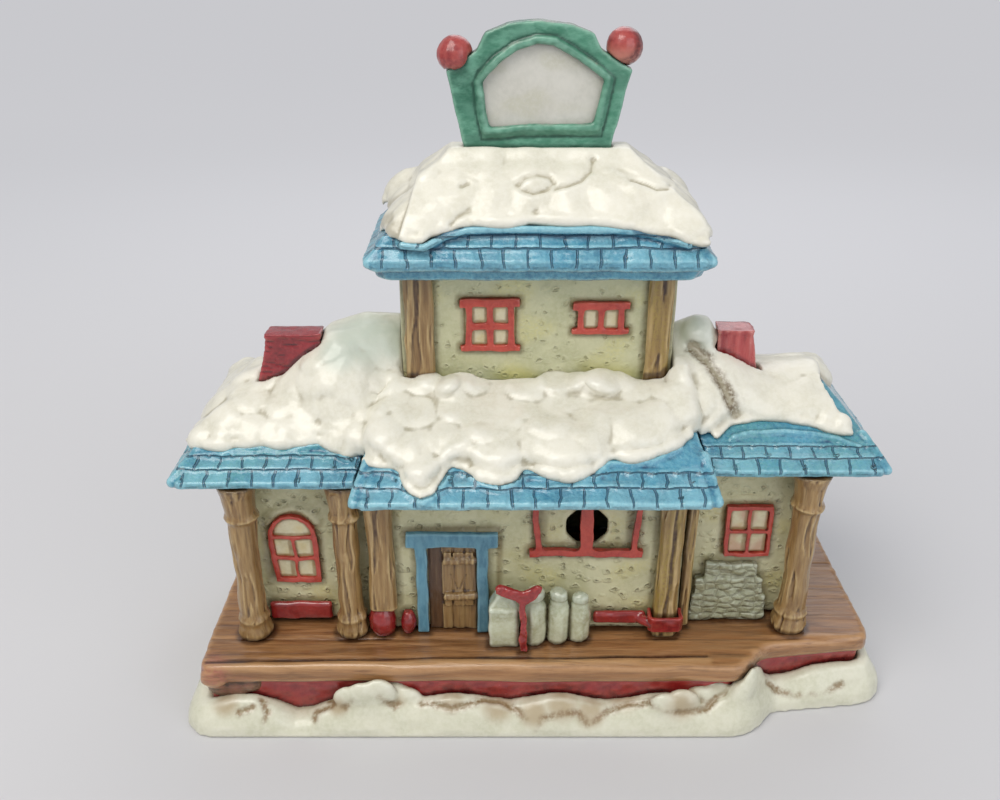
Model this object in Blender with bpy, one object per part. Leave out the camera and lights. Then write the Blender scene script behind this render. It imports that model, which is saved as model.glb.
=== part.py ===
"""A lit ceramic village building: a small snow-covered railway halt.

The real object is slip-cast and hand painted. Its castings and sprigs are luted
together before firing: a hollow snow base, a plank deck, a hollow lower storey, a
shingled roof in three parts, a tower with its own roof, snow, and small sprigs such
as windows, posts, cans and a sign. A clip-in lamp goes into a round hole at the back.

Frame: +X to the right seen from the front, +Y to the back, +Z up, in metres.
The origin is on the ground, at the centre of the base.
"""

import math

import bmesh
import bpy
from mathutils import Matrix, Vector

MM = 0.001

# Clearances
GAP = 0.3 * MM
THROUGH = 2 * MM
WELD = 0.01 * MM

# Base and deck
BASE_WIDTH = 216 * MM
BASE_DEPTH = 90 * MM
BASE_HEIGHT = 16 * MM
SNOW_FLARE = 5 * MM
DECK_THICKNESS = 6 * MM
DECK_CORNER = 4 * MM
DECK_STEP_X = 60 * MM
DECK_STEP_RUN = 9 * MM
DECK_STEP_BACK = 10 * MM
DECK_RIGHT_TURN = 4 * MM
PLANK_WIDTH = 6.5 * MM
PLANK_GROOVE = 0.8 * MM
FOUNDATION_SET_IN = 2 * MM
FOUNDATION_WALL = 5 * MM

# Snow skirt round the base
SKIRT_HEIGHT = 10 * MM
SKIRT_SPACING = 6 * MM
SKIRT_WAVE = 1.6 * MM
SKIRT_WAVE_LENGTH = 31 * MM

# Lower storey, a hollow shell with a bay in the middle
WALL = 3.5 * MM
BAY_LEFT = -51 * MM
BAY_RIGHT = 43 * MM
SHELL_LEFT = -93 * MM
SHELL_RIGHT = 80 * MM
SHELL_BACK = 36.5 * MM
BAY_FACE = -22 * MM
LEFT_WING_FACE = -17 * MM
RIGHT_WING_FACE = -14 * MM
SOFFIT = 77 * MM
RIGHT_SOFFIT_LIFT = 2 * MM
RIGHT_SOFFIT = SOFFIT + RIGHT_SOFFIT_LIFT
BAY_ROOF_RISE = 20 * MM
WING_ROOF_RISE = 19.4 * MM
BAY_ROOF_TOP = SOFFIT + BAY_ROOF_RISE
WING_ROOF_TOP = SOFFIT + WING_ROOF_RISE

# Tower, the upper storey
TOWER_LEFT = -41.6 * MM
TOWER_RIGHT = 38.6 * MM
TOWER_FRONT = 0 * MM
TOWER_BACK = 29.5 * MM
TOWER_HEIGHT = 39.5 * MM
TOWER_SOFFIT = BAY_ROOF_TOP + TOWER_HEIGHT
LEFT_CORNER_POST_WIDTH = 8.6 * MM
RIGHT_CORNER_POST_WIDTH = 7.2 * MM
CORNER_POST_CHAMFER = 0.9 * MM
CORNER_POST_PROUD = 2.4 * MM
CORNER_POST_SET_IN = 1.3 * MM

# Shingle courses, used by every roof
EAVE_THICKNESS = 2.6 * MM
COURSE_STEP = 0.9 * MM
COURSE_SHARE = 0.105
COURSES = 3
TOWER_COURSES = 2
TILE_WIDTH = 6.6 * MM
TILE_JOINT = 0.8 * MM
TILE_JOINT_DEPTH = 0.7 * MM
EAVE_CORNER = 3 * MM
ROOF_SHELL = 3.2 * MM

# Lower roof
ROOF_LEFT = -107 * MM
ROOF_RIGHT = 99.5 * MM
ROOF_BACK = 43.5 * MM
LEFT_EAVE = -29 * MM
RIGHT_EAVE = -25.5 * MM
BAY_EAVE = -40 * MM
BAY_ROOF_LEFT = -53.4 * MM
BAY_ROOF_RIGHT = 48 * MM
BAY_ROOF_MARGIN = 3 * MM
WING_ROOF_MARGIN = 4 * MM
LEFT_HIP_RUN = 20 * MM
RIGHT_HIP_RUN = 14 * MM
CAVITY_SLOPE = 9 * MM
WING_RIDGE_WIDTH = 10 * MM

# Tower roof
TOWER_ROOF_OVERHANG = 8.5 * MM
TOWER_ROOF_FRONT_OVERHANG = 12 * MM
TOWER_ROOF_BACK_OVERHANG = 7.5 * MM
CORNICE_SET_IN = 3.2 * MM
CORNICE_HEIGHT = 3.6 * MM
TOWER_ROOF_RISE = 24 * MM
TOWER_ROOF_TOP = TOWER_SOFFIT + TOWER_ROOF_RISE
TOWER_RIDGE_LENGTH = 50 * MM
TOWER_RIDGE_WIDTH = 9 * MM

# Sign on the ridge
SIGN_X = -1.9 * MM
SIGN_LIFT = 4 * MM
SIGN_BOTTOM = TOWER_ROOF_TOP + SIGN_LIFT
SIGN_HEIGHT = 33.5 * MM
SIGN_FOOT = 40.5 * MM
SIGN_SPREAD = 50.5 * MM
SIGN_SHOULDER = 21 * MM
SIGN_BORDER = 5.3 * MM
SIGN_THICKNESS = 6 * MM
SIGN_PANEL_THICKNESS = 2.6 * MM
KNOB_RADIUS = 5 * MM

# Lamp in the back wall
LAMP_X = -2.5 * MM
LAMP_Z = 48 * MM
LAMP_HOLE_RADIUS = 14.2 * MM
HOLDER_FLANGE_RADIUS = 17 * MM
HOLDER_FLANGE = 2.4 * MM
HOLDER_RADIUS = 11.5 * MM
HOLDER_LENGTH = 18 * MM
CLIP_WIDTH = 6 * MM
CLIP_THICKNESS = 0.8 * MM
BULB_BASE_RADIUS = 5.9 * MM
BULB_BASE_LENGTH = 12 * MM
BULB_RADIUS = 9.5 * MM
BULB_LENGTH = 26 * MM
BULB_SEAT = 2 * MM
FERRULE_TIP = (2.5 * MM, 3.5 * MM)
BULB_SHAPE = (
    (0.0, 0.55), (0.12, 0.62), (0.3, 0.9), (0.45, 1.0),
    (0.6, 0.94), (0.8, 0.62), (0.93, 0.3), (1.0, 0.08),
)
CORD_INLET_RADIUS = 3.4 * MM
CORD_INLET_DEPTH = 4 * MM

# Sprigs on the walls
SPRIG_PROUD = 1.4 * MM
RECESS = 1.2 * MM
SPRIG_SIZE = SPRIG_PROUD + RECESS - GAP

# Windows
WINDOW_X = 13.4 * MM
BAY_WINDOW_DROP = 7 * MM
TOWER_WINDOW_DROP = 12.3 * MM
SMALL_WINDOW_DROP = 13.3 * MM
TOWER_SILL = 10.8 * MM
SMALL_SILL = 16.2 * MM
WINDOW_LIGHT_Z = 59.4 * MM
WINDOW_LIGHT_RADIUS = 6.2 * MM
BAY_WINDOW = {
    "name": "bay_window", "x": WINDOW_X, "width": 31 * MM,
    "bottom": 49.8 * MM, "top": SOFFIT - BAY_WINDOW_DROP,
    "border": 2.2 * MM, "bar": 4.2 * MM, "columns": 2, "rows": 1, "sill": 2.8 * MM, "ear": 1.8 * MM,
}
LEFT_WINDOW = {
    "name": "arched_window", "x": -76 * MM, "width": 16 * MM, "bottom": 36.8 * MM, "top": 61.5 * MM,
    "border": 2 * MM, "bar": 1.4 * MM, "columns": 2, "rows": 2, "arched": True,
}
RIGHT_WINDOW = {
    "name": "right_window", "x": 63.6 * MM, "width": 14.6 * MM, "bottom": 44.2 * MM, "top": 63 * MM,
    "border": 1.6 * MM, "bar": 1.4 * MM, "columns": 2, "rows": 2,
}
TOWER_WINDOW_LEFT = {
    "name": "tower_window_left", "x": -15.4 * MM, "width": 14.4 * MM,
    "bottom": BAY_ROOF_TOP + TOWER_SILL, "top": TOWER_SOFFIT - TOWER_WINDOW_DROP,
    "border": 2 * MM, "bar": 2 * MM, "columns": 2, "rows": 2,
    "head": 2.4 * MM, "sill": 1.8 * MM, "ear": 1.6 * MM,
}
TOWER_WINDOW_RIGHT = {
    "name": "tower_window_right", "x": 16.9 * MM, "width": 13.6 * MM,
    "bottom": BAY_ROOF_TOP + SMALL_SILL, "top": TOWER_SOFFIT - SMALL_WINDOW_DROP,
    "border": 1.8 * MM, "bar": 2 * MM, "columns": 2, "rows": 1,
    "head": 2.4 * MM, "sill": 1.8 * MM, "ear": 1.6 * MM,
}

# Door
DOOR_X = -27 * MM
DOOR_WIDTH = 15.2 * MM
DOOR_TOP = 54 * MM
DOOR_JAMB = 3.3 * MM
LINTEL_HEIGHT = 5 * MM
LINTEL_EAR = 2.8 * MM
DOOR_FRAME_DEPTH = 2 * MM
DOOR_THICKNESS = 1.4 * MM
DOOR_RAIL = 4 * MM
DOOR_RAIL_PROUD = 0.9 * MM

# Posts and columns under the eaves
COLUMN_RADIUS = 4.6 * MM
DOOR_COLUMN_RADIUS = 4.3 * MM
COLUMN_Y_CLEAR = 0.6 * MM
LEFT_COLUMN_X = -88.6 * MM
RIGHT_COLUMN_X = 78.4 * MM
TWIN_COLUMN_X = -58.5 * MM
TWIN_POST_X = -48.1 * MM
TWIN_POST_WIDTH = 8.4 * MM
BAY_POST_X = 38.3 * MM
BAY_POST_WIDTH = 7.6 * MM
POST_DEPTH = 4.4 * MM
RETURN_POST_THICKNESS = 3.2 * MM
POST_CHAMFER = 1.2 * MM
POST_BAND_LIFT = 3.2 * MM
POST_BAND_HEIGHT = 5 * MM
POST_BAND_THICKNESS = 1.2 * MM

# Things on the deck. Cans and kegs give their place across, radius and height.
LEFT_BENCH = (-85 * MM, -65.4 * MM)
LEFT_BENCH_LIFT = 1 * MM
LEFT_BENCH_HEIGHT = 6.4 * MM
RIGHT_BENCH_START = 16.4 * MM
RIGHT_BENCH_HEIGHT = 4.4 * MM
BENCH_THICKNESS = 2 * MM
CAN_CLEAR = 1.4 * MM
CANS = {
    "sack": (-2 * MM, 3.7 * MM, 19 * MM),
    "can_left": (5.3 * MM, 3.3 * MM, 18.4 * MM),
    "can_right": (11.9 * MM, 3 * MM, 16.8 * MM),
}
KEG_SET_OUT = 1.3 * MM
LARGE_KEG_HEIGHT = 9.6 * MM
KEGS = {
    "keg_large": (-48.9 * MM, 4.3 * MM, LARGE_KEG_HEIGHT),
    "keg_small": (-41 * MM, 2.5 * MM, 7.6 * MM),
}
CAN_SHAPE = (
    (0.94, 0.0), (1.0, 0.08), (1.0, 0.55), (0.88, 0.68), (0.62, 0.75),
    (0.6, 0.82), (0.76, 0.86), (0.7, 0.95), (0.3, 1.0),
)
PARCEL_X = -11.3 * MM
PARCEL_WIDTH = 8.6 * MM
PARCEL_DEPTH = 6.2 * MM
PARCEL_CLEAR = 2.9 * MM
PARCEL_HEIGHT = 14 * MM
PARCEL_KNOT_WIDTH = 3.8 * MM
PARCEL_KNOT_HEIGHT = 4.5 * MM
RIBBON_X = -5.6 * MM
RIBBON_THICKNESS = 1.9 * MM
RIBBON_HEIGHT = 24 * MM
RIBBON_REACH = 8 * MM
# Outline of the ribbon, as shares of its reach and its height.
RIBBON_SHAPE = (
    (-0.11, 0.0), (0.18, 0.0), (0.11, 0.72), (0.68, 0.92), (0.58, 1.0),
    (0.0, 0.89), (-0.92, 1.0), (-1.0, 0.91), (-0.11, 0.72),
)
STACK_LEFT = 46.6 * MM
STACK_RIGHT = 71.4 * MM
STACK_DEPTH = 4 * MM
STACK_HEIGHT = 20.8 * MM
STACK_JOINT = 0.5 * MM
# Courses of the stack: what it lacks left and right as shares of its width, then shares
# of its depth and of its height, and the number of blocks.
STACK_COURSES = (
    (0.0, 0.0, 1.0, 0.15, 6), (0.03, 0.0, 0.92, 0.31, 6), (0.05, 0.02, 0.84, 0.46, 5),
    (0.08, 0.06, 0.76, 0.74, 5), (0.2, 0.15, 0.6, 1.0, 4),
)

# Chimneys
CHIMNEY_DEPTH = 6.5 * MM
CHIMNEY_RISE = 38 * MM
CHIMNEY_LIP = 0.5 * MM
CHIMNEY_TOP = SOFFIT + CHIMNEY_RISE
# Left and right edge at the foot, the same at the top, and the front face.
CHIMNEYS = {
    "left": (-89.5 * MM, -62.5 * MM, -80.5 * MM, -65.9 * MM, -1 * MM),
    "right": (50 * MM, 70.5 * MM, 51.6 * MM, 63 * MM, 2 * MM),
}

# Snow

# Puffs of snow along the front of the lower roof, and drifts against the tower:
# x, y, radius and height, in millimetres.
PUFFS = (
    (-97, -10.5, 9, 4.2), (-88, -11.5, 8.5, 4.6), (-79, -10, 9, 4.6), (-70, -10.5, 8.5, 4.8),
    (-61, -12, 8.5, 5), (-53, -15, 9, 5.5), (-45, -21, 9.5, 5.5), (-34, -32.5, 6.5, 4.4),
    (-35, -25, 8, 5), (-28, -21, 7, 5.2), (-19.5, -25.5, 8.5, 5.2), (-12, -27, 8.5, 5.4),
    (-4, -21.5, 8.5, 5.6), (4, -24, 9, 5.4), (10.5, -24.5, 8.5, 5.2), (18, -18, 8.5, 5.6),
    (25, -19, 9.4, 5.4), (33.5, -16.5, 9, 5.4), (40.5, -10.5, 9, 6), (49.5, -8.5, 8.5, 6),
    (58, -2.5, 9, 5), (67, -2, 9, 4.8), (77, -4, 8.6, 4.6), (86, -7.5, 8.4, 4),
    (-24, -5, 6, 8.5), (14, -5, 6, 8.8), (-61, 0, 15, 17.5), (-57, 8, 16, 18), (-49, 12, 13, 20.5),
    (46, 11, 11, 18.5), (50, 1, 15.5, 12),
)
# Edge of the snow along the front of the lower roof, from left to right: x and y, in millimetres.
SNOW_FRONT_EDGE = (
    (-104, -10), (-99.5, -16), (-91, -18), (-76, -17.5), (-65.5, -16), (-53, -21), (-48.4, -27), (-41, -29),
    (-38, -35.5), (-34.3, -37.5), (-30.6, -36), (-28.2, -30.5), (-26, -25.8), (-21.7, -28.4), (-15.5, -32.6),
    (-11, -32.4), (-5.8, -27.6), (0, -30.6), (7, -31.2), (14.2, -30), (17.1, -25), (24, -26.6), (32.6, -24.4),
    (42.4, -17.2), (50, -15), (55, -10.4), (71, -9), (78.5, -10.8), (86, -13.4), (92, -14),
)
SNOW_HIP_BARE = 3.5 * MM
SNOW_HIP_END = 8 * MM
SNOW_FRONT_PART = 2 * MM
BACK_PUFFS = 12
SIDE_PUFFS = 3
SNOW_BLANKET = 3.4 * MM
SNOW_EDGE = 12 * MM
# Sections through the snow from its inner rim: front, right, back and left.
SNOW_STATIONS = (38, 13, 16, 13)
SNOW_ROWS = 8
TOWER_STATIONS = (15, 15, 15, 15)
TOWER_CROWN = 4.6 * MM
SNOW_THIN = 2.2 * MM
SNOW_LEAST = 0.2 * MM
SNOW_HOLD_BACK = 1.2 * MM
SNOW_SUNK = 2.4 * MM

# Puffs of snow along the front of the tower roof: x, y, radius and height, in millimetres.
TOWER_PUFFS = (
    (-39, -3.5, 7.5, 4), (-32.5, -4, 7, 4.2), (-24, 0.5, 8, 4.6), (-14.5, 0.5, 8, 4.8), (-4, 1.5, 8, 4.8),
    (6, 0.5, 8, 4.8), (17, 1, 8, 4.8), (26, -1, 7.5, 4.6), (34, -2.5, 7.5, 4.2), (40, -4.5, 6.4, 3.8),
)
TOWER_BACK_PUFFS = 8
TOWER_SIDE_PUFFS = 3
TOWER_BLANKET = 3.6 * MM
TOWER_EDGE = 6 * MM

# Derived heights and outlines
DECK_TOP = BASE_HEIGHT + DECK_THICKNESS
FLOOR = DECK_TOP + GAP
EAVE_TOP = SOFFIT + EAVE_THICKNESS
HALF_DECK_WIDTH = BASE_WIDTH / 2 - SNOW_FLARE
HALF_DECK_DEPTH = BASE_DEPTH / 2 - SNOW_FLARE
TOWER_X = (TOWER_LEFT + TOWER_RIGHT) / 2
BAY_EAVES = (BAY_ROOF_LEFT, BAY_ROOF_RIGHT, BAY_EAVE, ROOF_BACK)
BAY_TOP = (
    TOWER_LEFT - BAY_ROOF_MARGIN,
    TOWER_RIGHT + BAY_ROOF_MARGIN,
    TOWER_FRONT - BAY_ROOF_MARGIN,
    TOWER_BACK + BAY_ROOF_MARGIN,
)
LEFT_EAVES = (ROOF_LEFT, TOWER_LEFT - WING_ROOF_MARGIN, LEFT_EAVE, ROOF_BACK)
RIGHT_EAVES = (TOWER_RIGHT + WING_ROOF_MARGIN, ROOF_RIGHT, RIGHT_EAVE, ROOF_BACK)
TOWER_EAVES = (
    TOWER_LEFT - TOWER_ROOF_OVERHANG,
    TOWER_RIGHT + TOWER_ROOF_OVERHANG,
    TOWER_FRONT - TOWER_ROOF_FRONT_OVERHANG,
    TOWER_BACK + TOWER_ROOF_BACK_OVERHANG,
)
RIDGE_Y = (TOWER_EAVES[2] + TOWER_EAVES[3]) / 2
TOWER_ROOF_PLATEAU = (
    TOWER_X - TOWER_RIDGE_LENGTH / 2,
    TOWER_X + TOWER_RIDGE_LENGTH / 2,
    RIDGE_Y - TOWER_RIDGE_WIDTH / 2,
    RIDGE_Y + TOWER_RIDGE_WIDTH / 2,
)
ALL_CORNERS = ("fl", "fr", "br", "bl")

# Finishes: colour, roughness, metallic
FINISHES = {
    "snow_white": ((0.78, 0.76, 0.66), 0.35, 0.0),
    "shingle_blue": ((0.10, 0.36, 0.52), 0.3, 0.0),
    "plaster_cream": ((0.58, 0.54, 0.30), 0.35, 0.0),
    "timber_brown": ((0.30, 0.17, 0.07), 0.35, 0.0),
    "deck_brown": ((0.33, 0.18, 0.09), 0.35, 0.0),
    "paint_red": ((0.42, 0.04, 0.04), 0.3, 0.0),
    "brick_red": ((0.30, 0.03, 0.03), 0.3, 0.0),
    "sign_green": ((0.10, 0.36, 0.25), 0.3, 0.0),
    "sign_pale": ((0.62, 0.61, 0.55), 0.4, 0.0),
    "trim_blue": ((0.10, 0.28, 0.36), 0.3, 0.0),
    "can_pale": ((0.45, 0.45, 0.30), 0.35, 0.0),
    "holder_white": ((0.8, 0.8, 0.78), 0.5, 0.0),
    "spring_steel": ((0.6, 0.6, 0.6), 0.3, 1.0),
    "bulb_brass": ((0.75, 0.6, 0.3), 0.3, 1.0),
    "bulb_glass": ((0.9, 0.9, 0.88), 0.1, 0.0),
}


# Building blocks

def finish(name):
    """The named material, made once."""
    found = bpy.data.materials.get(name)
    if found:
        return found
    colour, roughness, metallic = FINISHES[name]
    made = bpy.data.materials.new(name)
    made.use_nodes = True
    shader = made.node_tree.nodes["Principled BSDF"]
    shader.inputs["Base Color"].default_value = (*colour, 1.0)
    shader.inputs["Roughness"].default_value = roughness
    shader.inputs["Metallic"].default_value = metallic
    return made


def from_bmesh(name, bm, material=None):
    """Turns a bmesh into an object with outward normals."""
    bmesh.ops.remove_doubles(bm, verts=bm.verts, dist=1e-6)
    bmesh.ops.recalc_face_normals(bm, faces=bm.faces)
    mesh = bpy.data.meshes.new(name)
    bm.to_mesh(mesh)
    bm.free()
    thing = bpy.data.objects.new(name, mesh)
    bpy.context.scene.collection.objects.link(thing)
    if material:
        mesh.materials.append(finish(material))
    return thing


def helper(thing):
    """Marks a cutter, which the finished object doesn't show."""
    thing.hide_render = True
    thing.display_type = "WIRE"
    return thing


def cut(thing, cutter, operation="DIFFERENCE"):
    """Cuts one solid with another, or joins them."""
    modifier = thing.modifiers.new(cutter.name, "BOOLEAN")
    modifier.operation = operation
    modifier.solver = "EXACT"
    modifier.object = helper(cutter)
    return thing


def carve(thing, cutters):
    """Cuts the solids one after another, and tidies the mesh after each cut."""
    for cutter in cutters:
        cut(thing, cutter)
        bpy.context.view_layer.update()
        graph = bpy.context.evaluated_depsgraph_get()
        mesh = bpy.data.meshes.new_from_object(thing.evaluated_get(graph))
        thing.modifiers.clear()
        bm = bmesh.new()
        bm.from_mesh(mesh)
        bmesh.ops.triangulate(bm, faces=bm.faces[:])
        bmesh.ops.remove_doubles(bm, verts=bm.verts, dist=WELD)
        bmesh.ops.dissolve_degenerate(bm, edges=bm.edges, dist=WELD)
        bm.to_mesh(mesh)
        bm.free()
        thing.data = mesh
    return thing


def smooth(thing, angle=35):
    """Shades a round piece smooth, apart from its sharp edges."""
    thing.data.shade_smooth()
    thing.data.set_sharp_from_angle(angle=math.radians(angle))
    return thing


def loft(name, rings, material=None, closed=False):
    """A solid through equal rings of points: capped at both ends, or closed on itself."""
    bm = bmesh.new()
    rows = [[bm.verts.new(point) for point in ring] for ring in rings]
    count = len(rows[0])
    spans = len(rows) if closed else len(rows) - 1
    for i in range(spans):
        low, high = rows[i], rows[(i + 1) % len(rows)]
        for j in range(count):
            k = (j + 1) % count
            bm.faces.new((low[j], low[k], high[k], high[j]))
    if not closed:
        bm.faces.new(rows[0])
        bm.faces.new(rows[-1])
    return from_bmesh(name, bm, material)


def block(name, low, high, material=None, bevel=0.0):
    """A rectangular block between two corners, with its edges bevelled if asked."""
    bm = bmesh.new()
    bmesh.ops.create_cube(bm, size=1.0)
    middle = [(a + b) / 2 for a, b in zip(low, high)]
    size = [b - a for a, b in zip(low, high)]
    bmesh.ops.scale(bm, vec=size, verts=bm.verts)
    bmesh.ops.translate(bm, vec=middle, verts=bm.verts)
    if bevel:
        bmesh.ops.bevel(
            bm, geom=bm.edges[:], offset=bevel, segments=1, profile=0.5, affect="EDGES", material=-1
        )
    return from_bmesh(name, bm, material)


def prism(name, outline, bottom, top, material=None):
    """A plan outline raised from one height to another."""
    rings = [[(x, y, z) for x, y in outline] for z in (bottom, top)]
    return loft(name, rings, material)


def facade(name, outline, front, depth, material=None):
    """An outline in X and Z, given depth towards the back from its front face."""
    rings = [[(x, y, z) for x, z in outline] for y in (front, front + depth)]
    return loft(name, rings, material)


def turned(name, x, y, profile, material=None, sides=14, lean=0.0):
    """A piece turned about a vertical axis, from radius and height pairs."""
    foot = profile[0][1]
    rings = []
    for radius, z in profile:
        centre = x + lean * (z - foot)
        turn = [2 * math.pi * i / sides for i in range(sides)]
        rings.append([(centre + radius * math.cos(a), y + radius * math.sin(a), z) for a in turn])
    return smooth(loft(name, rings, material))


def turned_along_y(name, x, z, profile, material=None, sides=24):
    """A piece turned about an axis along Y, from radius and Y pairs."""
    rings = []
    for radius, y in profile:
        turn = [2 * math.pi * i / sides for i in range(sides)]
        rings.append([(x + radius * math.cos(a), y, z + radius * math.sin(a)) for a in turn])
    return smooth(loft(name, rings, material))


# Outlines

def rectangle(left, right, front, back):
    """Plan outline of a rectangle, anticlockwise."""
    return [(left, front), (right, front), (right, back), (left, back)]


def offset_outline(outline, distance):
    """The outline moved outwards by a distance, corner for corner."""
    moved = []
    for i, corner in enumerate(outline):
        before = Vector(outline[i - 1])
        here = Vector(corner)
        after = Vector(outline[(i + 1) % len(outline)])
        first = (here - before).normalized()
        second = (after - here).normalized()
        out_first = Vector((first.y, -first.x))
        out_second = Vector((second.y, -second.x))
        shift = (out_first + out_second) * distance / (1 + out_first.dot(out_second))
        moved.append(tuple(here + shift))
    return moved


def rounded(outline, radius, steps=3):
    """The outline with each corner drawn as a curve of a few points."""
    points = []
    for i, corner in enumerate(outline):
        here = Vector(corner)
        start = here + (Vector(outline[i - 1]) - here).normalized() * radius
        end = here + (Vector(outline[(i + 1) % len(outline)]) - here).normalized() * radius
        for step in range(steps + 1):
            t = step / steps
            points.append(tuple(start * (1 - t) ** 2 + here * 2 * t * (1 - t) + end * t**2))
    return points


def stations(outline, spacing):
    """Points at an even spacing along a closed outline, each with its outward direction."""
    found = []
    for i, corner in enumerate(outline):
        start = Vector(corner)
        end = Vector(outline[(i + 1) % len(outline)])
        count = max(1, round((end - start).length / spacing))
        for step in range(count):
            found.append(start.lerp(end, step / count))
    result = []
    for i, point in enumerate(found):
        along = (found[(i + 1) % len(found)] - found[i - 1]).normalized()
        result.append((point, Vector((along.y, -along.x))))
    return result


def deck_outline():
    """Plan of the deck: a rectangle whose right front stands back behind a slanting step."""
    front = -HALF_DECK_DEPTH
    set_back = front + DECK_STEP_BACK
    return [
        (-HALF_DECK_WIDTH, front),
        (DECK_STEP_X, front),
        (DECK_STEP_X + DECK_STEP_RUN, set_back),
        (HALF_DECK_WIDTH, set_back + DECK_RIGHT_TURN),
        (HALF_DECK_WIDTH, HALF_DECK_DEPTH),
        (-HALF_DECK_WIDTH, HALF_DECK_DEPTH),
    ]


def shell_outline():
    """Plan of the lower storey's outer face, with the bay standing forward."""
    return [
        (SHELL_LEFT, LEFT_WING_FACE),
        (BAY_LEFT, LEFT_WING_FACE),
        (BAY_LEFT, BAY_FACE),
        (BAY_RIGHT, BAY_FACE),
        (BAY_RIGHT, RIGHT_WING_FACE),
        (SHELL_RIGHT, RIGHT_WING_FACE),
        (SHELL_RIGHT, SHELL_BACK),
        (SHELL_LEFT, SHELL_BACK),
    ]


# Base

def bump(value, centre, width):
    """A smooth hump of height 1, centred on a value and nearly zero a width away."""
    return math.exp(-(((value - centre) / width) ** 2) * 2)


def skirt_height(x, y):
    """Height of the snow round the base, with drifts where the real one piles up."""
    wave = SKIRT_WAVE * math.sin(2 * math.pi * (x + 0.7 * y) / SKIRT_WAVE_LENGTH)
    height = SKIRT_HEIGHT + wave
    if y < HALF_DECK_DEPTH - SKIRT_SPACING:
        height += 5 * MM * bump(x, -52 * MM, 7 * MM)
        height += 9 * MM * bump(x, DECK_STEP_X + 3 * MM, 8 * MM)
        height += 4 * MM * bump(x, HALF_DECK_WIDTH, 12 * MM)
        height -= 4 * MM * bump(x, -73 * MM, 14 * MM)
    else:
        height += 3 * MM * bump(x, 10 * MM, 30 * MM)
    return height


def snow_skirt():
    """The flared snow round the foundation, as one closed ring of sections."""
    below_deck = BASE_HEIGHT - GAP
    inner = -FOUNDATION_SET_IN + GAP
    sections = []
    for point, out in stations(rounded(deck_outline(), DECK_CORNER), SKIRT_SPACING):
        top = skirt_height(point.x, point.y)
        low_top = min(top, below_deck)
        profile = (
            (inner, 0.0),
            (SNOW_FLARE, 0.0),
            (SNOW_FLARE * 0.92, top * 0.3),
            (SNOW_FLARE * 0.66, top * 0.75),
            (SNOW_FLARE * 0.32, top),
            (SNOW_FLARE * 0.12, max(top - MM, low_top)),
            (SNOW_FLARE * 0.1, low_top),
            (inner, low_top),
        )
        sections.append([(*(point + out * distance), z) for distance, z in profile])
    return smooth(loft("snow_skirt", sections, "snow_white", closed=True), 50)


def foundation():
    """The brick plinth under the deck, hollow and open below."""
    outer = offset_outline(rounded(deck_outline(), DECK_CORNER), -FOUNDATION_SET_IN)
    plinth = prism("foundation", outer, 0.0, BASE_HEIGHT - GAP, "brick_red")
    inner = offset_outline(deck_outline(), -FOUNDATION_SET_IN - FOUNDATION_WALL)
    return cut(plinth, prism("plinth_hollow", inner, -THROUGH, BASE_HEIGHT + THROUGH))


def deck():
    """The plank deck, open in the middle under the hollow house."""
    outline = rounded(deck_outline(), DECK_CORNER)
    edge = 1.2 * MM
    rings = []
    levels = ((edge / 2, BASE_HEIGHT), (0, BASE_HEIGHT + edge), (0, DECK_TOP - edge), (edge * 0.7, DECK_TOP))
    for inset, z in levels:
        rings.append([(x, y, z) for x, y in offset_outline(outline, -inset)])
    plate = loft("deck", rings, "deck_brown")
    opening = offset_outline(shell_outline(), -WALL)
    cut(plate, prism("deck_opening", opening, BASE_HEIGHT - THROUGH, DECK_TOP + THROUGH))
    grooves = bmesh.new()
    count = int(2 * HALF_DECK_DEPTH / PLANK_WIDTH)
    for i in range(1, count + 1):
        y = -HALF_DECK_DEPTH + i * PLANK_WIDTH
        made = bmesh.ops.create_cube(grooves, size=1.0)["verts"]
        size = (2 * BASE_WIDTH, PLANK_GROOVE, PLANK_GROOVE)
        bmesh.ops.transform(grooves, matrix=Matrix.Diagonal((*size, 1.0)), verts=made)
        turn = Matrix.Rotation(math.radians(45), 3, "X")
        bmesh.ops.rotate(grooves, matrix=turn, verts=made)
        bmesh.ops.translate(grooves, vec=(0, y, DECK_TOP), verts=made)
    return cut(plate, from_bmesh("plank_grooves", grooves))


# Roofs

def hip_ring(left, right, front, back, z, corners):
    """One level of a roof: a rectangle whose named corners are cut at an angle."""
    points = []
    plan = (
        ("fl", left, front, 1, 1),
        ("fr", right, front, -1, 1),
        ("br", right, back, -1, -1),
        ("bl", left, back, 1, -1),
    )
    for label, x, y, along_x, along_y in plan:
        size = EAVE_CORNER if label in corners else 0.0
        first = (x, y + along_y * size, z)
        second = (x + along_x * size, y, z)
        pair = (first, second) if label in ("fl", "br") else (second, first)
        points.extend(pair if size else [(x, y, z)])
    return points


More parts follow.
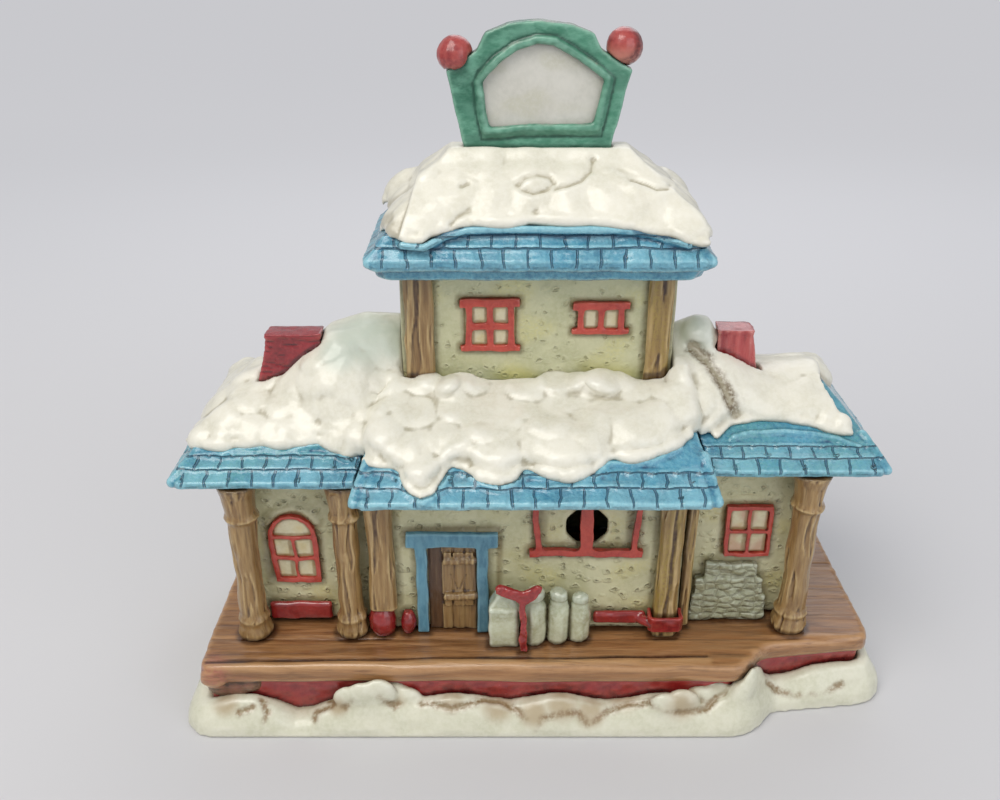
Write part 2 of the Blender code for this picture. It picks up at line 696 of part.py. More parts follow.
def hip_rings(eave, top, soffit, top_z, corners, courses, grow=0.0):
    """Levels of a shingled hip roof, from its soffit to its top.

    eave and top are (left, right, front, back). courses is the number of shingle
    courses that show. Each takes up COURSE_SHARE of the slope and ends in a step.
    grow makes the whole roof larger, for a cutter that leaves a clearance.
    """
    levels = [(0.03, soffit - grow), (0.0, soffit + 0.25 * EAVE_THICKNESS), (0.0, soffit + EAVE_THICKNESS)]
    start = soffit + EAVE_THICKNESS
    rise = top_z - start
    for course in range(1, courses + 1):
        t = course * COURSE_SHARE
        z = start + rise * t
        levels.append((t, z - COURSE_STEP * 0.5))
        levels.append((t + 0.006, z + COURSE_STEP * 0.5))
    levels.append((1.0, top_z))
    rings = []
    for t, z in levels:
        sides = [a + (b - a) * t for a, b in zip(eave, top)]
        left, right, front, back = sides
        lift = grow if z > soffit else 0.0
        rings.append(hip_ring(left - grow, right + grow, front - grow, back + grow, z + lift, corners))
    return rings


def joint_block(bm, low, high, along, up):
    """A thin cutter for one joint between two shingles, from the lower edge to the upper."""
    half = along * (TILE_JOINT / 2)
    sink = Vector((0, 0, -TILE_JOINT_DEPTH))
    lift = Vector((0, 0, up))
    corners = []
    for end in (low, high):
        for side in (-1, 1):
            for rise in (sink, lift):
                corners.append(bm.verts.new(end + half * side + rise))
    bmesh.ops.convex_hull(bm, input=corners)


def cut_tile_joints(roof, eave, top, soffit, top_z, courses_by_side):
    """Cuts the joints between shingles, course by course, with one cutter for each side."""
    start = soffit + EAVE_THICKNESS
    rise = top_z - start
    left, right, front, back = eave
    sides = {
        "front": (Vector((left, front, 0)), Vector((right, front, 0))),
        "back": (Vector((right, back, 0)), Vector((left, back, 0))),
        "left": (Vector((left, back, 0)), Vector((left, front, 0))),
        "right": (Vector((right, front, 0)), Vector((right, back, 0))),
    }
    inward = {
        "front": Vector((0, top[2] - front, 0)),
        "back": Vector((0, top[3] - back, 0)),
        "left": Vector((top[0] - left, 0, 0)),
        "right": Vector((top[1] - right, 0, 0)),
    }
    for side, courses in courses_by_side.items():
        bm = bmesh.new()
        begin, end = sides[side]
        along = (end - begin).normalized()
        length = (end - begin).length
        for course in range(courses):
            count = int((length - 2 * EAVE_CORNER) / TILE_WIDTH)
            margin = (length - count * TILE_WIDTH) / 2
            shift = 0.5 * TILE_WIDTH if course % 2 else 0.0
            for i in range(count + 1 - (course % 2)):
                place = begin + along * (margin + shift + i * TILE_WIDTH)
                t_low = course * COURSE_SHARE - (0.02 if course == 0 else -0.012)
                t_high = (course + 1) * COURSE_SHARE - 0.012
                low = place + inward[side] * t_low
                high = place + inward[side] * t_high
                low.z = start + rise * max(t_low, 0.0) + COURSE_STEP * (0.5 if course else 0.0)
                high.z = start + rise * t_high - COURSE_STEP * 0.5
                joint_block(bm, low, high, along, 3 * MM)
        cut(roof, from_bmesh(f"{roof.name}_joints_{side}", bm))
    return roof


def wing_top(eave, side):
    """Top rectangle of a wing roof, hipped at its outer end."""
    left, right, front, back = eave
    middle = (front + back) / 2
    half = WING_RIDGE_WIDTH / 2
    if side == "left":
        return (left + LEFT_HIP_RUN, right, middle - half, middle + half)
    return (left, right - RIGHT_HIP_RUN, middle - half, middle + half)


def roof_part(name, eave, top, soffit, top_z, corners, hollows, joints):
    """One shingled part of the lower roof: courses, joints between shingles, and hollows."""
    roof = loft(name, hip_rings(eave, top, soffit, top_z, corners, COURSES), "shingle_blue")
    cut_tile_joints(roof, eave, top, soffit, top_z, joints)
    for hollow in hollows:
        cut(roof, hollow)
    return roof


def bay_roof_seat(name):
    """A cutter the size of the bay's roof and its clearance."""
    rings = hip_rings(BAY_EAVES, BAY_TOP, SOFFIT, BAY_ROOF_TOP, ("fl", "fr"), COURSES, GAP)
    return loft(f"{name}_bay_seat", rings)


def wing_cavity(name, left, right, face, eave, soffit):
    """The hollow under a wing roof, over the room behind the wing's face."""
    front = face + WALL
    back = SHELL_BACK - WALL
    middle = (eave + ROOF_BACK) / 2
    top_z = WING_ROOF_TOP - ROOF_SHELL
    low = [(x, y, soffit - THROUGH) for x, y in rectangle(left, right, front, back)]
    lip = [(x, y, soffit + EAVE_THICKNESS) for x, y in rectangle(left, right, front, back)]
    inner_left = left + (CAVITY_SLOPE if left < BAY_ROOF_LEFT - WALL else 0)
    inner_right = right - (CAVITY_SLOPE if right > BAY_ROOF_RIGHT + WALL else 0)
    half = WING_RIDGE_WIDTH / 2
    high = [(x, y, top_z) for x, y in rectangle(inner_left, inner_right, middle - half, middle + half)]
    return loft(name, [low, lip, high])


def roof_left_wing():
    """Hipped roof over the left wing."""
    left, right = SHELL_LEFT + WALL, BAY_ROOF_LEFT + THROUGH
    cavity = wing_cavity("left_cavity", left, right, LEFT_WING_FACE, LEFT_EAVE, SOFFIT)
    hollows = (bay_roof_seat("roof_left_wing"), cavity)
    joints = {"front": 3, "left": 2, "back": 1}
    top = wing_top(LEFT_EAVES, "left")
    corners = ("fl", "bl")
    return roof_part("roof_left_wing", LEFT_EAVES, top, SOFFIT, WING_ROOF_TOP, corners, hollows, joints)


def roof_right_wing():
    """Hipped roof over the right wing, a little higher at its eave."""
    left, right = BAY_ROOF_RIGHT - THROUGH, SHELL_RIGHT - WALL
    cavity = wing_cavity("right_cavity", left, right, RIGHT_WING_FACE, RIGHT_EAVE, RIGHT_SOFFIT)
    hollows = (bay_roof_seat("roof_right_wing"), cavity)
    joints = {"front": 3, "right": 2, "back": 1}
    top = wing_top(RIGHT_EAVES, "right")
    corners = ("fr", "br")
    eaves = RIGHT_EAVES
    return roof_part("roof_right_wing", eaves, top, RIGHT_SOFFIT, WING_ROOF_TOP, corners, hollows, joints)


def roof_bay():
    """Roof over the bay, open in the middle under the tower."""
    left, right = BAY_LEFT + WALL, BAY_RIGHT - WALL
    front, back = BAY_FACE + WALL, SHELL_BACK - WALL
    room = [(x, y, SOFFIT - THROUGH) for x, y in rectangle(left, right, front, back)]
    lip = [(x, y, EAVE_TOP) for x, y in rectangle(left, right, front, back)]
    throat = rectangle(TOWER_LEFT + WALL, TOWER_RIGHT - WALL, TOWER_FRONT + WALL, TOWER_BACK - WALL)
    under = [(x, y, BAY_ROOF_TOP - ROOF_SHELL) for x, y in throat]
    out = [(x, y, BAY_ROOF_TOP + THROUGH) for x, y in throat]
    cavity = loft("bay_cavity", [room, lip, under, out])
    joints = {"front": 3, "back": 1}
    corners = ("fl", "fr")
    return roof_part("roof_bay", BAY_EAVES, BAY_TOP, SOFFIT, BAY_ROOF_TOP, corners, (cavity,), joints)


def tower_roof():
    """The tower's hipped roof, on a moulded cornice."""
    eave_bottom = TOWER_SOFFIT + CORNICE_HEIGHT
    eaves, top = TOWER_EAVES, TOWER_ROOF_PLATEAU
    rings = hip_rings(eaves, top, eave_bottom, TOWER_ROOF_TOP, ALL_CORNERS, TOWER_COURSES)
    left, right, front, back = TOWER_EAVES
    below = []
    step = TOWER_SOFFIT + CORNICE_HEIGHT / 3
    for share, z in ((2.2, TOWER_SOFFIT), (1.0, step), (0.7, eave_bottom)):
        inset = CORNICE_SET_IN * share
        below.append(hip_ring(left + inset, right - inset, front + inset, back - inset, z, ALL_CORNERS))
    roof = loft("tower_roof", below + rings, "shingle_blue")
    joints = {"front": 2, "left": 1, "right": 1, "back": 1}
    cut_tile_joints(roof, TOWER_EAVES, TOWER_ROOF_PLATEAU, eave_bottom, TOWER_ROOF_TOP, joints)
    throat = rectangle(TOWER_LEFT + WALL, TOWER_RIGHT - WALL, TOWER_FRONT + WALL, TOWER_BACK - WALL)
    low = [(x, y, TOWER_SOFFIT - THROUGH) for x, y in throat]
    lip = [(x, y, eave_bottom) for x, y in throat]
    top = rectangle(*TOWER_ROOF_PLATEAU)
    high = [(x, y, TOWER_ROOF_TOP - ROOF_SHELL) for x, y in top]
    return cut(roof, loft("tower_roof_cavity", [low, lip, high]))


# Walls

def lower_shell():
    """The lower storey: one hollow wall with recesses, a pierced window and the lamp hole."""
    outer = shell_outline()
    inner = offset_outline(outer, -WALL)
    sections = []
    top = RIGHT_SOFFIT - GAP
    for a, b in zip(outer, inner):
        sections.append([(*a, FLOOR), (*a, top), (*b, top), (*b, FLOOR)])
    shell = loft("lower_shell", sections, "plaster_cream", closed=True)
    trim_low = (SHELL_LEFT - THROUGH, BAY_FACE - THROUGH, SOFFIT - GAP)
    trim_high = (BAY_ROOF_RIGHT + GAP / 2, SHELL_BACK + THROUGH, RIGHT_SOFFIT + THROUGH)
    cut(shell, block("wall_top_trim", trim_low, trim_high))
    for name, outline, face in wall_recesses():
        cut(shell, facade(name, outline, face - THROUGH, THROUGH + RECESS))
    light = octagon(WINDOW_X, WINDOW_LIGHT_Z, WINDOW_LIGHT_RADIUS)
    cut(shell, facade("light_hole", light, BAY_FACE - THROUGH, WALL + 2 * THROUGH))
    hole = ((LAMP_HOLE_RADIUS, SHELL_BACK - WALL - THROUGH), (LAMP_HOLE_RADIUS, SHELL_BACK + THROUGH))
    return cut(shell, turned_along_y("lamp_hole", LAMP_X, LAMP_Z, hole, sides=32))


def tower_shell():
    """The upper storey: a hollow square wall with recesses for its two windows."""
    outer = rectangle(TOWER_LEFT, TOWER_RIGHT, TOWER_FRONT, TOWER_BACK)
    inner = offset_outline(outer, -WALL)
    bottom, top = BAY_ROOF_TOP + GAP, TOWER_SOFFIT - GAP
    sections = [[(*a, bottom), (*a, top), (*b, top), (*b, bottom)] for a, b in zip(outer, inner)]
    shell = loft("tower_shell", sections, "plaster_cream", closed=True)
    for window in (TOWER_WINDOW_LEFT, TOWER_WINDOW_RIGHT):
        outline = grown(window_outline(window), GAP)
        cut(shell, facade(window["name"] + "_recess", outline, TOWER_FRONT - THROUGH, THROUGH + RECESS))
    return shell


def tower_corner_posts():
    """Four timber posts, two on the tower's front and two on its back, close to its corners."""
    bottom, top = BAY_ROOF_TOP + GAP, TOWER_SOFFIT - GAP
    proud, chamfer = CORNER_POST_PROUD, CORNER_POST_CHAMFER
    left_start = TOWER_LEFT + CORNER_POST_SET_IN
    right_start = TOWER_RIGHT - CORNER_POST_SET_IN - RIGHT_CORNER_POST_WIDTH
    sides = (("left", left_start, LEFT_CORNER_POST_WIDTH), ("right", right_start, RIGHT_CORNER_POST_WIDTH))
    for side_x, start, width in sides:
        for side_y, wall, way in (("front", TOWER_FRONT, -1), ("back", TOWER_BACK, 1)):
            near, far = wall + way * GAP, wall + way * (GAP + proud)
            end = start + width
            outline = [
                (start, near), (start, far - way * chamfer), (start + chamfer, far),
                (end - chamfer, far), (end, far - way * chamfer), (end, near),
            ]
            prism(f"tower_post_{side_y}_{side_x}", outline, bottom, top, "timber_brown")


# Windows, as outlines in X and Z with their panes

def grown(outline, distance):
    """An outline in X and Z, moved outwards by a distance."""
    return offset_outline(outline, distance)


def octagon(x, z, radius):
    """An octagon in X and Z, flat at the top."""
    reach = radius / math.cos(math.pi / 8)
    turns = [math.pi / 8 + math.pi * i / 4 for i in range(8)]
    return [(x + reach * math.cos(a), z + reach * math.sin(a)) for a in turns]


def window_outline(window):
    """Outer outline of a window frame, with a wider head and sill or a round head."""
    half, bottom, top = window["width"] / 2, window["bottom"], window["top"]
    x = window["x"]
    if window.get("arched"):
        points = [(x - half, bottom), (x + half, bottom)]
        centre = top - half
        for i in range(9):
            a = math.pi * i / 8
            points.append((x + half * math.cos(a), centre + half * math.sin(a)))
        return points
    head, sill, ear = window.get("head", 0.0), window.get("sill", 0.0), window.get("ear", 0.0)
    points = [(x - half - ear, bottom), (x + half + ear, bottom)]
    if ear and sill:
        points += [(x + half + ear, bottom + sill), (x + half, bottom + sill)]
    elif ear:
        points = [(x - half, bottom), (x + half, bottom)]
    if ear and head:
        points += [(x + half, top - head), (x + half + ear, top - head), (x + half + ear, top)]
        points += [(x - half - ear, top), (x - half - ear, top - head), (x - half, top - head)]
    else:
        points += [(x + half, top), (x - half, top)]
    if ear and sill:
        points += [(x - half, bottom + sill), (x - half - ear, bottom + sill)]
    return points


def window_panes(window):
    """Outlines of the panes, column by column and row by row."""
    bar = window["bar"]
    left = window["x"] - window["width"] / 2 + window["border"]
    right = window["x"] + window["width"] / 2 - window["border"]
    bottom = window["bottom"] + max(window.get("sill", 0.0), window["border"])
    top = window["top"] - max(window.get("head", 0.0), window["border"])
    panes = []
    if window.get("arched"):
        half = (right - left) / 2
        springing = window["top"] - window["width"] / 2
        arch = [(left, springing)]
        for i in range(9):
            a = math.pi * i / 8
            arch.append((window["x"] + half * math.cos(a), springing + bar / 2 + half * math.sin(a)))
        panes.append(arch[1:])
        top = springing - bar / 2
    columns, rows = window["columns"], window["rows"]
    wide = (right - left - bar * (columns - 1)) / columns
    tall = (top - bottom - bar * (rows - 1)) / rows
    for column in range(columns):
        for row in range(rows):
            x = left + column * (wide + bar)
            z = bottom + row * (tall + bar)
            panes.append([(x, z), (x + wide, z), (x + wide, z + tall), (x, z + tall)])
    return panes


def window_frame(window, face):
    """A window's sprig: its frame and glazing bars, seated in the wall's recess."""
    front = face - SPRIG_PROUD
    frame = facade(window["name"], window_outline(window), front, SPRIG_SIZE, "paint_red")
    for i, pane in enumerate(window_panes(window)):
        cut(frame, facade(f"{window['name']}_pane_{i}", pane, front - THROUGH, SPRIG_SIZE + 2 * THROUGH))
    return frame


def wall_recesses():
    """Name, outline and wall face of each recess in the lower storey."""
    half = DOOR_WIDTH / 2
    foot = FLOOR - THROUGH
    left, right = DOOR_X - half, DOOR_X + half
    door_hole = [(left, foot), (right, foot), (right, DOOR_TOP), (left, DOOR_TOP)]
    return (
        ("door_recess", door_hole, BAY_FACE),
        ("bay_window_recess", grown(window_outline(BAY_WINDOW), GAP), BAY_FACE),
        ("arched_window_recess", grown(window_outline(LEFT_WINDOW), GAP), LEFT_WING_FACE),
        ("right_window_recess", grown(window_outline(RIGHT_WINDOW), GAP), RIGHT_WING_FACE),
    )


def door_frame():
    """The painted door surround: two jambs under a wider lintel."""
    half = DOOR_WIDTH / 2
    outer = half + DOOR_JAMB
    ear = outer + LINTEL_EAR
    top = DOOR_TOP + LINTEL_HEIGHT
    outline = [
        (DOOR_X - outer, FLOOR), (DOOR_X - half, FLOOR), (DOOR_X - half, DOOR_TOP), (DOOR_X + half, DOOR_TOP),
        (DOOR_X + half, FLOOR), (DOOR_X + outer, FLOOR), (DOOR_X + outer, DOOR_TOP), (DOOR_X + ear, DOOR_TOP),
        (DOOR_X + ear, top), (DOOR_X - ear, top), (DOOR_X - ear, DOOR_TOP), (DOOR_X - outer, DOOR_TOP),
    ]
    front = BAY_FACE - GAP - DOOR_FRAME_DEPTH
    return facade("door_frame", outline, front, DOOR_FRAME_DEPTH, "trim_blue")


def door():
    """The plank door with its two rails, set back in the wall."""
    half = DOOR_WIDTH / 2 - GAP
    back = BAY_FACE + RECESS - GAP
    front = back - DOOR_THICKNESS
    leaf = block("door", (DOOR_X - half, front, FLOOR), (DOOR_X + half, back, DOOR_TOP - GAP), "timber_brown")
    for i, share in enumerate((0.3, 0.8)):
        z = FLOOR + (DOOR_TOP - FLOOR) * share
        low = (DOOR_X - half + MM, front - DOOR_RAIL_PROUD, z)
        high = (DOOR_X + half - MM, front + DOOR_THICKNESS / 2, z + DOOR_RAIL)
        cut(leaf, block(f"door_rail_{i}", low, high), "UNION")
    for i in (-1, 0, 1):
        x = DOOR_X + i * DOOR_WIDTH / 4
        low = (x - 0.3 * MM, front - THROUGH, FLOOR - THROUGH)
        high = (x + 0.3 * MM, front + 0.4 * MM, DOOR_TOP + THROUGH)
        cut(leaf, block(f"door_plank_{i + 1}", low, high))
    return leaf


# Posts and columns under the eaves

def column(name, x, face, soffit, r=COLUMN_RADIUS):
    """A turned timber column with a ringed capital and base, standing before a wall face."""
    top = soffit - GAP
    profile = (
        (r * 1.12, FLOOR), (r * 1.18, FLOOR + 2 * MM), (r * 1.0, FLOOR + 5 * MM), (r * 1.1, FLOOR + 6.5 * MM),
        (r * 0.88, FLOOR + 8.5 * MM), (r * 0.82, FLOOR + 22 * MM), (r * 0.9, top - 13 * MM),
        (r * 1.12, top - 11.5 * MM), (r * 0.95, top - 9.5 * MM), (r * 1.05, top - 4 * MM), (r * 1.3, top),
    )
    y = face - r * 1.3 - COLUMN_Y_CLEAR
    return turned(name, x, y, profile, "timber_brown")


def post(name, x, width, face, bottom, top):
    """A squared timber post, a little waisted, standing before a wall face."""
    back = face - GAP
    middle = (bottom + top) / 2
    rings = []
    for share, z in ((1.0, bottom), (0.97, bottom + 0.1 * (top - bottom)), (0.9, middle), (1.0, top)):
        half = width / 2 * share
        near = back - POST_DEPTH * share
        turn = near + POST_CHAMFER
        inner = half - POST_CHAMFER
        rings.append([
            (x - half, back, z), (x - half, turn, z), (x - inner, near, z),
            (x + inner, near, z), (x + half, turn, z), (x + half, back, z),
        ])
    return loft(name, rings, "timber_brown")


def post_band():
    """The red band round the bay post's foot, open at the wall."""
    back = BAY_FACE - GAP
    inner, outer = BAY_POST_WIDTH / 2 + GAP, BAY_POST_WIDTH / 2 + GAP + POST_BAND_THICKNESS
    near = back - POST_DEPTH - GAP
    far = near - POST_BAND_THICKNESS
    x = BAY_POST_X
    outline = [
        (x - outer, back), (x - outer, far + POST_CHAMFER), (x - outer + POST_CHAMFER, far),
        (x + outer - POST_CHAMFER, far), (x + outer, far + POST_CHAMFER), (x + outer, back),
        (x + inner, back), (x + inner, near), (x - inner, near), (x - inner, back),
    ]
    bottom = FLOOR + POST_BAND_LIFT
    return prism("post_foot", outline, bottom, bottom + POST_BAND_HEIGHT, "paint_red")


def posts_and_columns():
    """Everything that holds up the eaves."""
    column("column_left", LEFT_COLUMN_X, LEFT_WING_FACE, SOFFIT)
    column("column_right", RIGHT_COLUMN_X, RIGHT_WING_FACE, RIGHT_SOFFIT)
    column("column_door", TWIN_COLUMN_X, LEFT_WING_FACE, SOFFIT, DOOR_COLUMN_RADIUS)
    top = SOFFIT - GAP
    post("post_door", TWIN_POST_X, TWIN_POST_WIDTH, BAY_FACE, FLOOR + LARGE_KEG_HEIGHT + GAP, top)
    post("post_bay", BAY_POST_X, BAY_POST_WIDTH, BAY_FACE, FLOOR, top)
    post_band()
    low = (BAY_RIGHT + GAP, BAY_FACE, FLOOR)
    high = (BAY_RIGHT + GAP + RETURN_POST_THICKNESS, RIGHT_WING_FACE - GAP, top)
    block("post_return", low, high, "timber_brown", bevel=0.9 * MM)


# Things on the deck

def bench(name, left, right, face, lift, height):
    """A red board along the foot of a wall."""
    low = (left, face - GAP - BENCH_THICKNESS, FLOOR + lift)
    high = (right, face - GAP, FLOOR + lift + height)
    return block(name, low, high, "paint_red", bevel=0.7 * MM)


def can(name, x, y, radius, height):
    """A pale can with a rounded shoulder, a neck and a lid."""
    profile = [(radius * reach, FLOOR + height * share) for reach, share in CAN_SHAPE]
    return turned(name, x, y, profile, "can_pale", sides=10)


def deck_goods():
    """Parcels, cans, kegs and the stack of blocks that stand on the deck."""
    bench("bench_left", *LEFT_BENCH, LEFT_WING_FACE, LEFT_BENCH_LIFT, LEFT_BENCH_HEIGHT)
    end = BAY_POST_X - BAY_POST_WIDTH / 2 - GAP - POST_BAND_THICKNESS - GAP
    bench("bench_right", RIGHT_BENCH_START, end, BAY_FACE, POST_BAND_LIFT, RIGHT_BENCH_HEIGHT)
    parcel()
    ribbon()
    for name, (x, radius, height) in CANS.items():
        can(name, x, BAY_FACE - CAN_CLEAR - radius, radius, height)
    for name, (x, radius, height) in KEGS.items():
        keg(name, x, BAY_FACE - KEG_SET_OUT, radius, height)
    block_stack()


def parcel():
    """A soft square parcel, drawn up into a knot on top."""
    half, knot = PARCEL_WIDTH / 2, PARCEL_KNOT_WIDTH / 2
    back = BAY_FACE - PARCEL_CLEAR
    top = FLOOR + PARCEL_HEIGHT
    low = (PARCEL_X - half, back - PARCEL_DEPTH, FLOOR)
    made = block("parcel", low, (PARCEL_X + half, back, top), "can_pale")
    ridge = [
        (PARCEL_X - half, top - 0.1 * MM), (PARCEL_X + half, top - 0.1 * MM),
        (PARCEL_X + knot, top + PARCEL_KNOT_HEIGHT), (PARCEL_X - knot, top + PARCEL_KNOT_HEIGHT),
    ]
    set_in = 0.15 * PARCEL_DEPTH
    gathered = facade("parcel_top", ridge, back - PARCEL_DEPTH + set_in, PARCEL_DEPTH - 2 * set_in)
    return cut(made, gathered, "UNION")


def keg(name, x, y, radius, height):
    """A round red keg, fullest at its middle, flat where it meets the wall."""
    profile = []
    for share, reach in ((0.0, 0.72), (0.25, 0.95), (0.55, 1.0), (0.82, 0.82), (1.0, 0.5)):
        profile.append((radius * reach, FLOOR + height * share))
    round_keg = turned(name, x, y, profile, "paint_red", sides=14)
    low = (x - 2 * radius, BAY_FACE - GAP, FLOOR - THROUGH)
    high = (x + 2 * radius, BAY_FACE + 3 * radius, FLOOR + height + THROUGH)
    return cut(round_keg, block(name + "_back", low, high))


def ribbon():
    """The red tape and bow in front of the parcel: a strip that spreads into two ears."""
    front = BAY_FACE - PARCEL_CLEAR - PARCEL_DEPTH - GAP - RIBBON_THICKNESS
    outline = [(RIBBON_X + RIBBON_REACH * a, FLOOR + RIBBON_HEIGHT * b) for a, b in RIBBON_SHAPE]
    return facade("ribbon", outline, front, RIBBON_THICKNESS, "paint_red")


def block_stack():
    """The pale heap of blocks beside the right column, drawn in towards its top."""
    back = RIGHT_WING_FACE - GAP
    width = STACK_RIGHT - STACK_LEFT
    rings = []
    joints = bmesh.new()
    bottom = FLOOR
    for row, (lack_left, lack_right, depth, height, count) in enumerate(STACK_COURSES):
        left, right = STACK_LEFT + width * lack_left, STACK_RIGHT - width * lack_right
        front = back - STACK_DEPTH * depth
        top = FLOOR + STACK_HEIGHT * height
        for z in (bottom, top - STACK_JOINT):
            rings.append([(left, front, z), (right, front, z), (right, back, z), (left, back, z)])
        for i in range(1, count):
            x = left + (right - left) * (i + 0.25 * (row % 2)) / count
            made = bmesh.ops.create_cube(joints, size=1.0)["verts"]
            tall = top - bottom - 2 * STACK_JOINT
            bmesh.ops.scale(joints, vec=(STACK_JOINT, 2 * STACK_JOINT, tall), verts=made)
            bmesh.ops.translate(joints, vec=(x, front, (bottom + top) / 2), verts=made)
        bottom = top
    return cut(loft("block_stack", rings, "can_pale"), from_bmesh("stack_joints", joints))


# Chimneys and sign

def chimney_rings(side, grow):
    """Levels of a tapering brick chimney, made larger by grow for a cutter."""
    foot_left, foot_right, top_left, top_right, front = CHIMNEYS[side]
    back = front + CHIMNEY_DEPTH
    rings = []
    start = SOFFIT + EAVE_THICKNESS
    for share, proud in ((0.0, 0.0), (0.9, 0.0), (0.94, CHIMNEY_LIP), (1.0, CHIMNEY_LIP / 2)):
        z = start + (CHIMNEY_TOP - start) * share + (grow if share == 1.0 else 0.0)
        left = foot_left + (top_left - foot_left) * share - proud - grow
        right = foot_right + (top_right - foot_right) * share + proud + grow
        rings.append([
            (left, front - proud - grow, z), (right, front - proud - grow, z),
            (right, back + proud + grow, z), (left, back + proud + grow, z),
        ])
    return rings


def lower_roof_seats(name):
    """Cutters the size of the lower roof and its clearance, for what stands on it."""
    seats = []
    for side, eave, soffit in (("left", LEFT_EAVES, SOFFIT), ("right", RIGHT_EAVES, RIGHT_SOFFIT)):
        corners = ("fl", "bl") if side == "left" else ("fr", "br")
        rings = hip_rings(eave, wing_top(eave, side), soffit, WING_ROOF_TOP, corners, COURSES, GAP)
        seats.append(loft(f"{name}_seat_{side}", rings))
    seats.append(bay_roof_seat(name))
    return seats


def chimneys():
    """The two tapering brick chimneys, seated on the wing roofs."""
    for side in CHIMNEYS:
        chimney = loft(f"chimney_{side}", chimney_rings(side, 0.0), "brick_red")
        for seat in lower_roof_seats(f"chimney_{side}"):
            cut(chimney, seat)


def sign_outline(border):
    """Outline of the arched sign, moved inwards by a border."""
    foot, spread = SIGN_FOOT / 2 - border, SIGN_SPREAD / 2 - border
    bottom = SIGN_BOTTOM + border * 0.8
    shoulder = SIGN_BOTTOM + SIGN_SHOULDER - border * 0.35
    top = SIGN_BOTTOM + SIGN_HEIGHT - border
    points = [(SIGN_X - foot, bottom), (SIGN_X + foot, bottom), (SIGN_X + spread, shoulder)]
    reach = SIGN_SPREAD * 0.33 - border * 0.35
    for i in range(7):
        a = math.pi * (i / 6)
        rise = math.sin(a) ** 0.75
        low = shoulder + (top - shoulder) * 0.42
        points.append((SIGN_X + reach * math.cos(a), low + (top - low) * rise))
    points.append((SIGN_X - spread, shoulder))
    return points


def sign():
    """The arched sign: a frame, a bare panel in it and two round knobs on its shoulders."""
    front = RIDGE_Y - SIGN_THICKNESS / 2
    frame = facade("sign_frame", sign_outline(0), front, SIGN_THICKNESS, "sign_green")
    inner = sign_outline(SIGN_BORDER)
    cut(frame, facade("sign_opening", inner, front - THROUGH, SIGN_THICKNESS + 2 * THROUGH))
    panel = offset_outline(inner, -GAP)
    facade("sign_panel", panel, RIDGE_Y - SIGN_PANEL_THICKNESS / 2, SIGN_PANEL_THICKNESS, "sign_pale")
    knob_z = SIGN_BOTTOM + SIGN_SHOULDER + 0.8 * KNOB_RADIUS
    for side, way, lift in (("left", -1, 0.0), ("right", 1, 2 * MM)):
        bm = bmesh.new()
        bmesh.ops.create_uvsphere(bm, u_segments=14, v_segments=9, radius=KNOB_RADIUS)
        x = SIGN_X + way * (SIGN_SPREAD / 2 - 2.4 * MM)
        bmesh.ops.translate(bm, vec=(x, RIDGE_Y, knob_z + lift), verts=bm.verts)
        knob = smooth(from_bmesh(f"sign_knob_{side}", bm, "paint_red"))
        clear = offset_outline(sign_outline(0), GAP)
        cut(knob, facade(f"knob_seat_{side}", clear, front - GAP, SIGN_THICKNESS + 2 * GAP))


# Lamp

def lamp():
    """The clip-in lamp holder with its spring clips, and the bulb that screws into it."""
    outside = SHELL_BACK + GAP
    mouth = SHELL_BACK - HOLDER_LENGTH
    r = HOLDER_RADIUS
    flange = HOLDER_FLANGE_RADIUS
    profile = (
        (flange - MM, outside + HOLDER_FLANGE), (flange, outside + HOLDER_FLANGE - 0.8 * MM),
        (flange, outside), (r, outside), (r, mouth),
    )
    holder = turned_along_y("lamp_holder", LAMP_X, LAMP_Z, profile, "holder_white")
    bore = BULB_BASE_RADIUS + GAP
    socket_floor = mouth + BULB_BASE_LENGTH + GAP
    socket = ((bore, socket_floor), (bore, mouth - THROUGH))
    cut(holder, turned_along_y("socket", LAMP_X, LAMP_Z, socket))
    rim = outside + HOLDER_FLANGE
    inlet = ((CORD_INLET_RADIUS, rim - CORD_INLET_DEPTH), (CORD_INLET_RADIUS, rim + THROUGH))
    cut(holder, turned_along_y("cord_inlet", LAMP_X, LAMP_Z, inlet, sides=16))
    on_axis(holder)
    for side, way in (("left", -1), ("right", 1)):
        on_axis(clip(side, way))
    tip = mouth + BULB_BASE_LENGTH
    neck = BULB_BASE_RADIUS
    near, far = FERRULE_TIP
    ferrule = ((neck * 0.45, tip), (neck * 0.95, tip - near), (neck, tip - far), (neck, mouth - BULB_SEAT))
    on_axis(turned_along_y("bulb_cap", LAMP_X, LAMP_Z, ferrule, "bulb_brass", sides=20))
    start = mouth - BULB_SEAT - GAP
    shape = []
    for share, reach in BULB_SHAPE:
        shape.append((BULB_RADIUS * reach, start - BULB_LENGTH * share))
    on_axis(turned_along_y("bulb_glass", LAMP_X, LAMP_Z, shape, "bulb_glass", sides=20))


def on_axis(thing):
    """Puts a lamp piece's origin on the lamp's axis, at the wall, and leaves its shape in place."""
    origin = Vector((LAMP_X, SHELL_BACK, LAMP_Z))
    thing.data.transform(Matrix.Translation(-origin))
    thing.location = origin
    return thing


